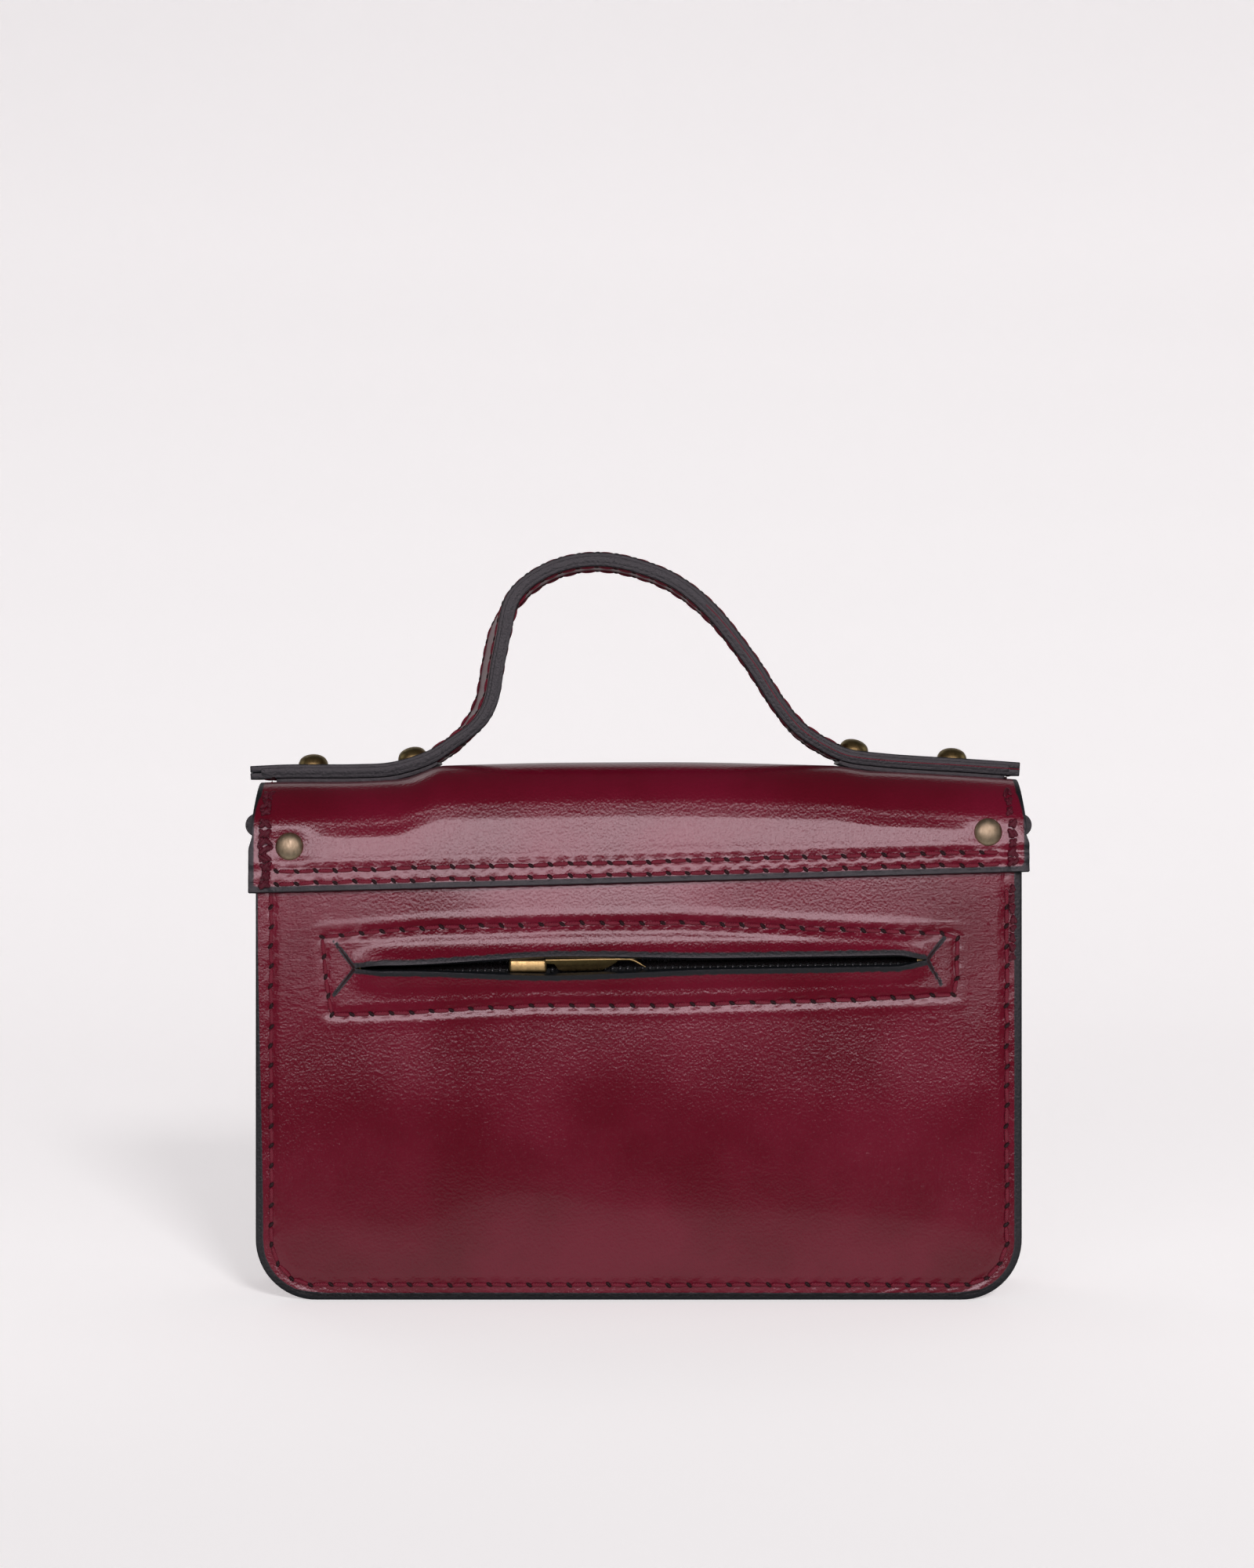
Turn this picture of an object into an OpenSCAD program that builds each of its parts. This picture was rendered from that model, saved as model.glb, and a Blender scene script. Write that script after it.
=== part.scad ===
// Small leather satchel: flanged gusset body, lifting flap with a riveted top handle,
// a zip pocket cut into the back wall, a front slip pocket and two buckled closures.
// X runs along the width, the front faces -Y, the back faces +Y, and Z = 0 is the base.

/* [Body] */
// Width over the turned-out edges of the gusset
body_w = 215; // [170:1:300]
// Height from the base to the middle of the flap's top
body_h = 151; // [140:1:210]
// Depth over the front and back walls
body_d = 46; // [40:1:80]
// Thickness of the body leather
leather = 2; // [1.6:0.1:2.6]
// Radius of the two bottom corners
corner_r = 17; // [13:1:24]
// Width of the gusset's turned-out edge
flange = 7; // [6:0.5:9]
// How far the gusset's edge shows round each wall
rim = 2; // [1:0.5:3]

/* [Flap] */
// How far the flap passes the body on each side
flap_over = 1.5; // [0.5:0.5:3]
// Radius of the gentle crown along the flap's top
crown_r = 1460; // [1200:10:3000]
// Outer radius of the bends at the flap's two long edges
bend_r = 10; // [6:0.5:12]
// How far below the top the flap starts to lift
hinge_drop = 15; // [11:1:21]
// How far below the top the flap's hem runs on the back wall, halfway along
hem_drop = 33.6; // [32:0.1:41]
// How much higher the hem runs at the -X end than at the +X end
hem_slant = 6; // [0:0.5:7]
// Height of the flap's front edge
flap_front_z = 50; // [46:1:60]
// Radius of the flap's two front corners
flap_corner_r = 24; // [10:1:40]

/* [Handle] */
// Width of the handle
handle_w = 21; // [14:1:26]
// Height of the handle's arch over the flap, to the middle of its leather
handle_rise = 58; // [45:1:80]
// How far the handle's ends stop short of the flap's side edges
handle_end_gap = 2.5; // [1:0.5:6]
// Distance from the middle to each inner rivet
handle_rivet_in = 64.5; // [64:0.5:72]
// Distance from the middle to each outer rivet
handle_rivet_out = 92.4; // [80:0.1:94]
// How far the two outer rivets sit towards +X
handle_rivet_shift = 1.7; // [0:0.1:2]

/* [Rivets] */
// Radius of a rivet's domed head
rivet_head_r = 4; // [3:0.25:4.5]
// Height of a rivet's domed head
rivet_head_h = 2.6; // [1.5:0.1:3]
// Radius of a rivet's shank
rivet_shank_r = 1.5; // [1:0.1:2]
// Thickness of a rivet's inner cap
rivet_cap_t = 0.8; // [0.6:0.1:1.2]
// How far below the top the two back rivets sit
back_rivet_drop = 21.8; // [21:0.1:24]
// How much higher the rivet at the -X end sits than the one at the +X end
back_rivet_slant = 4; // [0:0.5:4]
// Distance in from the body's side to each back rivet
back_rivet_in = 10; // [10:0.5:37]

/* [Zip pocket] */
// Length of the slit in the back wall
slit_l = 160; // [110:1:164]
// Height of the slit
slit_h = 5; // [4.8:0.1:6]
// How far below the top the middle of the zip's slit is
slit_drop = 56.6; // [53:0.1:71]
// Tilt of the slit in degrees, with its +X end lower
slit_tilt = 0.86; // [0:0.02:1]
// Where the slider sits along the width
slider_x = 31; // [-40:0.5:50]
// Length of the slider
slider_l = 10.5; // [8:0.5:12]
// Length of the puller from its pin to its tip
puller_l = 28; // [16:1:32]
// Depth of the zip pocket's lining
lining_d = 8; // [7:0.5:10]
// Height of the lining's floor
lining_floor_z = 45; // [30:1:60]

/* [Front pocket] */
// Width of the front pocket
pocket_w = 170; // [130:1:180]
// Depth of the front pocket over its face
pocket_d = 9; // [8:0.5:16]
// Height of the pocket's base
pocket_base_z = 8; // [6:0.5:14]
// Height of the pocket's open edge
pocket_top_z = 84; // [70:1:90]

/* [Closures] */
// Distance from the middle to each closure strap
strap_x = 52; // [35:0.5:60]
// Width of each closure strap
strap_w = 17; // [14:0.5:17]
// Height of each strap's sewn upper end
strap_top_z = 118; // [100:1:124]
// Height of each strap's tip
strap_tip_z = 19; // [16:0.5:24]
// Height of the buckle's heel bar
heel_z = 43; // [41:0.5:44]
// Width of the buckle frame's inside
buckle_in_w = 19.4; // [19:0.1:22]
// Thickness of the wire bars of the buckle frame
buckle_bar = 2.5; // [2:0.1:3]
// Distance from the heel bar to the frame's end bar
buckle_l = 15.5; // [14:0.5:18]
// Thickness of the thin leather of the buckle tabs
tab_leather = 1.2; // [1:0.1:1.2]

/* [Shoulder strap rings] */
// How far below the top the rings' pivots are
ring_drop = 18; // [17:0.5:20]
// Radius of the round wire of the rings
ring_wire_r = 1.2; // [1:0.1:1.5]
// Radius of the rings to the middle of the wire
ring_r = 10; // [9.5:0.5:11]
// Width of the leather tab that holds each ring
ring_tab_w = 16; // [12:0.5:16]
// How far below the top the rivet through each tab is
tab_rivet_drop = 35; // [33:0.5:39]

/* [Hidden] */

$fn = 48;
e = 1;                 // how far a cutter passes the face it cuts
run_gap = 0.08;        // radial clearance of a turning fit
slide_gap = 0.35;      // clearance beside a sliding piece
seat_gap = 0.02;       // air under a flat cap on the curved underside of the flap
flap_gap = 0.6;        // air between the flap's front and the pocket

tab_fold_r = buckle_bar / 2 - 0.1 + run_gap + tab_leather;
buckle_tilt = asin((2 * leather + 0.3 + buckle_bar / 2 - tab_fold_r) / buckle_l);
prong_t = 1.35;
prong_over = 0.6;
prong_rest = 0.05;
prong_reach = (buckle_bar / 2 + prong_rest + prong_t) * cos(buckle_tilt)
  + (buckle_l + buckle_bar / 2 + prong_over) * sin(buckle_tilt);
front_reach = body_d / 2 + pocket_d + flap_gap + tab_fold_r + prong_reach;
back_reach = body_d / 2 + leather + rivet_head_h;
mid_y = (front_reach - back_reach) / 2;   // centres the whole depth on Y = 0

hinge_z = body_h - hinge_drop;
hem_z = body_h - hem_drop;
slit_z = body_h - slit_drop;
back_rivet_z = body_h - back_rivet_drop;
ring_z = body_h - ring_drop;
tab_rivet_z = body_h - tab_rivet_drop;
back_rivet_x = body_w / 2 - back_rivet_in;
back_y = mid_y + body_d / 2;
front_y = mid_y - body_d / 2;
flap_back_y = back_y + leather;
pocket_y = front_y - pocket_d;
flap_in_y = pocket_y - flap_gap;
flap_y = flap_in_y - leather;
flap_w = body_w + 2 * flap_over;
top_mid_y = (flap_y + flap_back_y) / 2;
panel_w = body_w - 2 * rim;
back_panel_top = hinge_z - 2;
front_panel_top = hinge_z + 1;
gusset_top = hinge_z + 3;
seam_z = hinge_z - 3;
web_in = flange + leather;
rivet_cap_r = rivet_head_r - 0.5;

// Height of the flap's crowned top at a place along the width
function crown_z(x) = body_h - crown_r + sqrt(crown_r * crown_r - x * x);

// Place and turn something onto the crowned top
module on_crown(x) {
  translate([0, top_mid_y, body_h - crown_r])
    rotate([0, asin(x / crown_r), 0]) translate([0, 0, crown_r]) children();
}

// Outline in X and Z with two round bottom corners, from z = base up to top
module wall_outline(w, base, top, r) {
  translate([-w / 2, base + r]) square([w, top - base - r]);
  translate([-w / 2 + r, base]) square([w - 2 * r, r]);
  for (side = [-1, 1]) translate([side * (w / 2 - r), base + r]) circle(r = r);
}

// Stands an X-Z outline up as a sheet that reaches from low y to high y
module sheet(low, high) {
  translate([0, high, 0]) rotate([90, 0, 0]) linear_extrude(high - low) children();
}

// Domed rivet that stands on z = 0 with its shank reaching down
module rivet(shank_l) {
  ball_r = (rivet_head_r * rivet_head_r + rivet_head_h * rivet_head_h) / (2 * rivet_head_h);
  intersection() {
    translate([0, 0, rivet_head_h - ball_r]) sphere(r = ball_r, $fn = 96);
    cylinder(r = rivet_head_r + e, h = rivet_head_h + e);
  }
  translate([0, 0, -shank_l]) cylinder(r = rivet_shank_r, h = shank_l + rivet_head_h / 2);
}

module rivet_cap() cylinder(r = rivet_cap_r, h = rivet_cap_t);

module on_back(x, y, z) translate([x, y, z]) rotate([-90, 0, 0]) children();

// The two rivets at the ends of the flap's seam, from a given depth
module at_back_rivets(y) for (side = [-1, 1])
  on_back(side * back_rivet_x, y, back_rivet_z - side * back_rivet_slant / 2) children();

// Runs along the tilted slit, with Z = 0 on its middle line
module on_slit() translate([0, 0, slit_z]) rotate([0, slit_tilt, 0]) children();

// ---- Leather body ----

module wall_sheet(low, high, top) {
  sheet(low, high) wall_outline(panel_w, rim, top, corner_r - rim);
}

module back_panel() color("#6b1226") difference() {
  wall_sheet(back_y - leather, back_y, back_panel_top);
  on_slit() translate([-slit_l / 2, back_y - leather - e, -slit_h / 2])
    cube([slit_l, leather + 2 * e, slit_h]);
  at_back_rivets(back_y - leather - e) cylinder(r = rivet_shank_r, h = leather + 2 * e);
}

module front_panel() color("#6b1226") wall_sheet(front_y, front_y + leather, front_panel_top);

// Ring outline of the gusset, open at the top, between two insets
module gusset_ring(outer, inner) difference() {
  wall_outline(body_w - 2 * outer, outer, gusset_top, corner_r - outer);
  wall_outline(body_w - 2 * inner, inner, gusset_top + e, corner_r - inner);
}

module gusset() color("#5d1022") difference() {
  union() {
    sheet(front_y + leather, back_y - leather) gusset_ring(flange, web_in);
    sheet(front_y + leather, front_y + 2 * leather) gusset_ring(0, web_in);
    sheet(back_y - 2 * leather, back_y - leather) gusset_ring(0, web_in);
  }
  for (side = [-1, 1]) tab_rivet_place(side, -leather - e)
    cylinder(r = rivet_shank_r, h = leather + 2 * e);
  at_back_rivets(back_y - leather - rivet_cap_t) cylinder(r = rivet_cap_r, h = rivet_cap_t + e);
}

// ---- Flap ----

module flap_back_strip() color("#6b1226") difference() {
  sheet(back_y, flap_back_y) polygon([
    [-flap_w / 2, hem_z + hem_slant / 2], [flap_w / 2, hem_z - hem_slant / 2],
    [flap_w / 2, hinge_z], [-flap_w / 2, hinge_z]]);
  at_back_rivets(back_y - e) cylinder(r = rivet_shank_r, h = leather + 2 * e);
}

// Cross-section across the flap's top: x is the height over the crown's centre, y is -Y
module flap_section(inset, low) {
  high = crown_r - inset;
  bend = crown_r - bend_r;
  r = bend_r - inset;
  back = inset - flap_back_y;
  front = -flap_y - inset;
  translate([low, back]) square([bend - low, front - back]);
  translate([low, back + r]) square([high - low, front - back - 2 * r]);
  for (y = [back + r, front - r]) translate([bend, y]) circle(r = r);
}

// The section swept along the crown, a little past the flap's two side edges
module crown_sweep(inset, low) {
  half = asin(flap_w / 2 / crown_r) + 0.3;
  translate([0, 0, body_h - crown_r]) rotate([90, 0, 0])
    rotate_extrude(angle = 2 * half, start = 90 - half, $fn = 360) flap_section(inset, low);
}

module flap_top() difference() {
  crown_sweep(0, crown_r - bend_r - 12);
  crown_sweep(leather, crown_r - bend_r - 14);
}

module flap() color("#6b1226") difference() {
  union() {
    intersection() {
      flap_top();
      translate([-flap_w / 2, flap_y - e, seam_z])
        cube([flap_w, flap_back_y - flap_y + 2 * e, body_h - seam_z + e]);
    }
    sheet(flap_y, flap_in_y) wall_outline(flap_w, flap_front_z, seam_z, flap_corner_r);
  }
  translate([-flap_w, mid_y, hinge_z - bend_r])
    cube([2 * flap_w, flap_back_y - mid_y + e, bend_r]);
  for (x = handle_rivet_xs) on_crown(x) translate([0, 0, -leather - e])
    cylinder(r = rivet_shank_r, h = leather + 2 * e);
}

// ---- Front pocket ----

module pocket_front() color("#6b1226") difference() {
  sheet(pocket_y, pocket_y + leather)
    wall_outline(pocket_w, pocket_base_z, pocket_top_z, corner_r - leather);
  for (side = [-1, 1]) snap_place(side) translate([0, 0, -e])
    cylinder(r = snap_r, h = leather + e + snap_proud);
}

module pocket_gusset() color("#5d1022") sheet(pocket_y + leather, front_y) difference() {
  wall_outline(pocket_w, pocket_base_z, pocket_top_z, corner_r - leather);
  wall_outline(pocket_w - 2 * leather, pocket_base_z + leather, pocket_top_z + e,
    corner_r - 2 * leather);
}

// ---- Handle ----

handle_rivet_xs = [handle_rivet_shift - handle_rivet_out, -handle_rivet_in,
  handle_rivet_in, handle_rivet_shift + handle_rivet_out];
handle_end_x = flap_w / 2 - handle_end_gap;
arch_lift = (handle_rise - leather) / 56;
arch_foot_x = 60;

// The arch as height over the crown, leaning a little to one side
arch_points = [
  [-53, 2.9], [-46, 8.6], [-39.5, 16.7], [-32.5, 27.4], [-22, 40.5], [-11, 49.4], [0, 54],
  [10.5, 56], [20.5, 55.1], [29, 51.7], [35.5, 46.2], [39.5, 38.5], [42, 27.6], [44, 16.5],
  [48, 8.8], [53.5, 3.4]
];

function flat_run(from, to) = [
  for (k = [0:5]) let(x = from + (to - from) * k / 5) [x, crown_z(x) + leather]
];

handle_knots = concat(
  flat_run(-handle_end_x, -arch_foot_x),
  [for (p = arch_points) [p[0], crown_z(p[0]) + leather + p[1] * arch_lift]],
  flat_run(arch_foot_x, handle_end_x)
);

// Smooth curve through a list of points, a few steps to each stretch
function smooth(p, i, t) =
  let(n = len(p) - 1, a = p[max(i - 1, 0)], b = p[i], c = p[i + 1], d = p[min(i + 2, n)])
  0.5 * (2 * b + t * (c - a) + t * t * (2 * a - 5 * b + 4 * c - d)
    + t * t * t * (3 * b - 3 * c + d - a));

function smooth_path(p, steps) = concat(
  [for (i = [0:len(p) - 2]) for (k = [0:steps - 1]) smooth(p, i, k / steps)],
  [p[len(p) - 1]]
);

// The same path moved sideways by a distance, to its left as it runs
function beside(p, dist) = [
  for (i = [0:len(p) - 1])
    let(a = p[max(i - 1, 0)], b = p[min(i + 1, len(p) - 1)], d = (b - a) / norm(b - a))
    p[i] + dist * [-d[1], d[0]]
];

function ribbon(p, low, high) = let(back = beside(p, low), n = len(p) - 1)
  concat(beside(p, high), [for (i = [n:-1:0]) back[i]]);

handle_path = smooth_path(handle_knots, 4);

module handle_layer(low, high) difference() {
  translate([0, top_mid_y + handle_w / 2, 0]) rotate([90, 0, 0]) linear_extrude(handle_w)
    polygon(ribbon(handle_path, low, high));
  for (x = handle_rivet_xs) on_crown(x) translate([0, 0, -e])
    cylinder(r = rivet_shank_r, h = 2 * leather + 2 * e);
}

module handle_top_layer() color("#6b1226") handle_layer(0, leather);

module handle_lining() color("#5d1022") difference() {
  handle_layer(-leather, 0);
  translate([0, top_mid_y + handle_w, body_h - crown_r]) rotate([90, 0, 0])
    cylinder(r = crown_r, h = 2 * handle_w, $fn = 720);
}

module handle_rivets() color("#8c7a4a") for (x = handle_rivet_xs)
  on_crown(x) translate([0, 0, 2 * leather]) rivet(3 * leather);

module handle_rivet_caps() color("#8c7a4a") for (x = handle_rivet_xs)
  on_crown(x) translate([0, 0, -leather - rivet_cap_t - seat_gap]) rivet_cap();

// ---- Back rivets ----

module back_rivets() color("#b5a77c") at_back_rivets(flap_back_y) rivet(2 * leather);

module back_rivet_caps() color("#8c7a4a")
  at_back_rivets(back_y - leather - rivet_cap_t) rivet_cap();

// ---- Zip pocket ----

tape_t = 0.8;
coil_t = 1;
coil_h = 1.1;
coil_gap = 1.7;
post_t = coil_gap - 2 * slide_gap;
slider_h = slit_h - 1;
plate_t = 0.9;
tape_h = 12;
tape_y = back_y - leather - tape_t;
coil_y = tape_y + tape_t;
slider_front_y = coil_y + coil_t + slide_gap;
slider_back_y = tape_y - slide_gap;
stop_l = 2;
pin_y = slider_front_y + plate_t + 1.3;
pin_r = 0.5;
lug_t = 0.5;
puller_h = 3.4;

// One strip along the zip, mirrored for the lower half
module zip_strip(side, length, y, t, h) on_slit() mirror([0, 0, side < 0 ? 1 : 0])
  translate([-length / 2, y, coil_gap / 2]) cube([length, t, h]);

module zip_tape(side) color("#2a2a2e") zip_strip(side, slit_l + 8, tape_y, tape_t, tape_h);

module zip_coil(side) color("#1c1c20")
  zip_strip(side, slit_l - 2 * stop_l, coil_y, coil_t, coil_h);

module zip_tape_upper() zip_tape(1);
module zip_tape_lower() zip_tape(-1);
module zip_coil_upper() zip_coil(1);
module zip_coil_lower() zip_coil(-1);

module zip_end_stops() color("#c8aa64") on_slit() for (side = [-1, 1])
  translate([side * (slit_l - stop_l) / 2 - stop_l / 2, coil_y, -slider_h / 2])
    cube([stop_l, coil_t, slider_h]);

module zip_slider() color("#c8aa64") on_slit() translate([slider_x, 0, 0]) {
  translate([-slider_l / 2, slider_front_y, -slider_h / 2]) cube([slider_l, plate_t, slider_h]);
  translate([-slider_l / 2, slider_back_y - plate_t, -slider_h / 2])
    cube([slider_l, plate_t, slider_h]);
  translate([slider_l / 2 - 3, slider_back_y, -post_t / 2])
    cube([2.5, slider_front_y - slider_back_y, post_t]);
  for (side = [-1, 1]) translate([0, 0, side * (slider_h / 2 - lug_t / 2) - lug_t / 2]) {
    translate([-1, slider_front_y + plate_t / 2, 0]) cube([2, pin_y - slider_front_y - plate_t / 2, lug_t]);
    translate([0, pin_y, 0]) cylinder(r = 1, h = lug_t);
  }
  translate([0, pin_y, -slider_h / 2 + lug_t / 2]) cylinder(r = pin_r, h = slider_h - lug_t);
}

module zip_puller() color("#c8aa64") on_slit() translate([slider_x, pin_y, 0]) difference() {
  barrel_h = slider_h - 2 * lug_t - 2 * run_gap;
  union() {
    translate([0, 0, -barrel_h / 2]) cylinder(r = 1.05, h = barrel_h);
    translate([-4, -0.5, -barrel_h / 2]) cube([4, 1, barrel_h]);
    translate([-puller_l, -0.5, -puller_h / 2]) cube([puller_l - 2.5, 1, puller_h]);
  }
  translate([0, 0, -slider_h]) cylinder(r = pin_r + run_gap, h = 2 * slider_h);
}

module zip_pocket_lining() color("#3a3032") {
  half = slit_l / 2 + 8;
  wall = 0.6;
  high = slit_z + tape_h + 2;
  difference() {
    translate([-half, tape_y - lining_d, lining_floor_z])
      cube([2 * half, lining_d, high - lining_floor_z]);
    translate([-half + wall, tape_y - lining_d + wall, lining_floor_z + wall])
      cube([2 * (half - wall), lining_d - 2 * wall, high - lining_floor_z - 2 * wall]);
    translate([-slit_l / 2, tape_y - 2 * wall, slit_z - slider_h / 2 - 4])
      cube([slit_l, 3 * wall, slider_h + 8]);
  }
}

// ---- Shoulder strap rings ----

web_x = body_w / 2 - flange;
fold_bore_r = ring_wire_r + run_gap;
fold_r = fold_bore_r + leather;
ring_x = body_w / 2 + 1.3;
tab_low_z = tab_rivet_z - 7;

module tab_rivet_place(side, out) mirror([side < 0 ? 1 : 0, 0, 0])
  translate([web_x + out, mid_y, tab_rivet_z]) rotate([0, 90, 0]) children();

// Folded tab: two layers on the gusset that open into a loop round the ring's bar
module dring_tab(side) color("#6b1226") mirror([side < 0 ? 1 : 0, 0, 0]) difference() {
  sheet(mid_y - ring_tab_w / 2, mid_y + ring_tab_w / 2) difference() {
    union() {
      translate([web_x, tab_low_z]) square([2 * leather, 12]);
      polygon([[web_x, tab_low_z + 11], [web_x + 2 * leather, tab_low_z + 11],
        [ring_x + fold_r * cos(-120), ring_z + fold_r * sin(-120)],
        [ring_x + fold_r * cos(165), ring_z + fold_r * sin(165)]]);
      translate([ring_x, ring_z]) circle(r = fold_r);
    }
    translate([ring_x, ring_z]) circle(r = fold_bore_r);
  }
  translate([web_x - e, mid_y, tab_rivet_z]) rotate([0, 90, 0])
    cylinder(r = rivet_shank_r, h = 2 * leather + 2 * e);
}

// Round wire bent into a D that hangs from its straight bar
module dring(side) color("#b39a5c") translate([side * ring_x, mid_y, ring_z]) {
  rotate([90, 0, 0]) translate([0, 0, -ring_r]) cylinder(r = ring_wire_r, h = 2 * ring_r);
  rotate([90, 0, 90]) rotate_extrude(angle = 180, start = 180)
    translate([ring_r, 0]) circle(r = ring_wire_r);
  for (end = [-1, 1]) translate([0, end * ring_r, 0]) sphere(r = ring_wire_r);
}

module dring_tab_left() dring_tab(-1);
module dring_tab_right() dring_tab(1);
module dring_left() dring(-1);
module dring_right() dring(1);

module tab_rivets() color("#8c7a4a") for (side = [-1, 1])
  tab_rivet_place(side, 2 * leather) rivet(3 * leather);

module tab_rivet_caps() color("#8c7a4a") for (side = [-1, 1])
  tab_rivet_place(side, -leather - rivet_cap_t) rivet_cap();

// ---- Closures ----

snap_r = 5;
snap_t = 2.4;
snap_proud = 0.15;
snap_z = heel_z - 13;
strap_t = leather;
tab_w = 18;
bar_r = tab_fold_r - run_gap - tab_leather;
heel_y = flap_in_y - tab_fold_r;
tab_face_y = flap_in_y - 2 * tab_leather;
hump_y = heel_y - tab_fold_r - 0.25;
prong_ring_r = buckle_bar;

module at_strap(side) translate([side * strap_x, 0, 0]) children();

module snap_place(side) translate([side * strap_x, pocket_y + leather, snap_z])
  rotate([90, 0, 0]) children();

// The strap's middle line in depth and height where it passes over the heel bar
hump_knots = [
  [tab_face_y - strap_t / 2 - 0.2, heel_z - 10],
  [tab_face_y - strap_t / 2 - 0.7, heel_z - 7],
  [hump_y - strap_t / 2 + 0.1, heel_z - 3],
  [hump_y - strap_t / 2 - 0.1, heel_z],
  [hump_y - strap_t / 2 + 0.2, heel_z + 3],
  [flap_y - strap_t / 2 - 0.6, flap_front_z + 0.5],
  [flap_y - strap_t / 2, flap_front_z + 4]
];

strap_path = concat(
  [[hump_knots[0][0], strap_tip_z]],
  smooth_path(hump_knots, 5),
  [[flap_y - strap_t / 2, strap_top_z]]
);

module closure_strap(side) color("#6b1226") at_strap(side) difference() {
  translate([-strap_w / 2, 0, 0]) rotate([90, 0, 90]) linear_extrude(strap_w)
    polygon(ribbon(strap_path, -strap_t / 2, strap_t / 2));
  translate([-1.5, hump_y - 3 * strap_t, heel_z - 2]) cube([3, 6 * strap_t, 9.8]);
  for (z = [snap_z, heel_z + 24, heel_z + 33]) translate([0, flap_y + e, z]) rotate([90, 0, 0])
    cylinder(r = 1.25, h = 4 * strap_t);
}

// Frame lies tilted so that its end bar clears the front of the strap
module in_buckle(side) at_strap(side)
  translate([0, heel_y, heel_z]) rotate([buckle_tilt, 0, 0]) children();

module buckle_frame(side) color("#b39a5c") in_buckle(side) {
  half = buckle_in_w / 2 + buckle_bar;
  difference() {
    translate([-half, -buckle_bar / 2, -buckle_bar / 2])
      cube([2 * half, buckle_bar, buckle_l + buckle_bar]);
    translate([-buckle_in_w / 2, -buckle_bar, -buckle_bar])
      cube([buckle_in_w, 2 * buckle_bar, buckle_l + buckle_bar / 2]);
  }
  translate([-half + 1, 0, 0]) rotate([0, 90, 0]) cylinder(r = bar_r, h = 2 * half - 2);
}

module buckle_prong(side) color("#b39a5c") in_buckle(side) difference() {
  union() {
    translate([-1, 0, 0]) rotate([0, 90, 0]) cylinder(r = prong_ring_r, h = 2);
    translate([-1, -buckle_bar / 2 - prong_rest - prong_t, 0])
      cube([2, prong_t, buckle_l + buckle_bar / 2 + prong_over]);
  }
  translate([-2, 0, 0]) rotate([0, 90, 0]) cylinder(r = bar_r + run_gap, h = 4);
}

// Thin leather folded round the heel bar, with a gap for the prong
module buckle_tab(side) color("#6b1226") at_strap(side) difference() {
  union() {
    translate([-tab_w / 2, tab_face_y, strap_tip_z + 1])
      cube([tab_w, flap_in_y - tab_face_y, heel_z - strap_tip_z - 1]);
    translate([-tab_w / 2, heel_y, heel_z]) rotate([0, 90, 0]) cylinder(r = tab_fold_r, h = tab_w);
  }
  translate([-tab_w, heel_y, heel_z]) rotate([0, 90, 0]) cylinder(r = bar_r + run_gap, h = 2 * tab_w);
  translate([-1.4, heel_y - 5, heel_z - prong_ring_r - 0.4]) cube([2.8, 10, 10]);
  translate([0, flap_in_y + e, snap_z]) rotate([90, 0, 0])
    cylinder(r = snap_r, h = tab_leather + e);
}

// Loop of leather over the strap, its ends against the tab's edges
module keeper(side) color("#6b1226") at_strap(side) translate([0, 0, heel_z - 21]) {
  front = tab_face_y - strap_t - 0.5;
  difference() {
    translate([-tab_w / 2 - tab_leather, front - tab_leather, 0])
      cube([tab_w + 2 * tab_leather, flap_in_y - front + tab_leather, 5]);
    translate([-tab_w / 2, front, -e]) cube([tab_w, flap_in_y - front + e, 5 + 2 * e]);
  }
}

module snap_stud(side) color("#b39a5c")
  translate([side * strap_x, flap_in_y - tab_leather, snap_z]) rotate([-90, 0, 0])
    cylinder(r = snap_r, h = tab_leather);

module snap_socket(side) color("#b39a5c") snap_place(side) translate([0, 0, leather + snap_proud - snap_t])
  cylinder(r = snap_r, h = snap_t);

module closure_strap_left() closure_strap(-1);
module closure_strap_right() closure_strap(1);
module buckle_frame_left() buckle_frame(-1);
module buckle_frame_right() buckle_frame(1);
module buckle_prong_left() buckle_prong(-1);
module buckle_prong_right() buckle_prong(1);
module buckle_tab_left() buckle_tab(-1);
module buckle_tab_right() buckle_tab(1);
module keeper_left() keeper(-1);
module keeper_right() keeper(1);
module snap_stud_left() snap_stud(-1);
module snap_stud_right() snap_stud(1);
module snap_socket_left() snap_socket(-1);
module snap_socket_right() snap_socket(1);

back_panel();
front_panel();
gusset();
flap_back_strip();
flap();
pocket_front();
pocket_gusset();
handle_top_layer();
handle_lining();
handle_rivets();
handle_rivet_caps();
back_rivets();
back_rivet_caps();
zip_tape_upper();
zip_tape_lower();
zip_coil_upper();
zip_coil_lower();
zip_end_stops();
zip_slider();
zip_puller();
zip_pocket_lining();
dring_tab_left();
dring_tab_right();
dring_left();
dring_right();
tab_rivets();
tab_rivet_caps();
closure_strap_left();
closure_strap_right();
buckle_frame_left();
buckle_frame_right();
buckle_prong_left();
buckle_prong_right();
buckle_tab_left();
buckle_tab_right();
keeper_left();
keeper_right();
snap_stud_left();
snap_stud_right();
snap_socket_left();
snap_socket_right();
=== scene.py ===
import math
import random

import bmesh
import bpy
from mathutils import Matrix, Vector, noise


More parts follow.
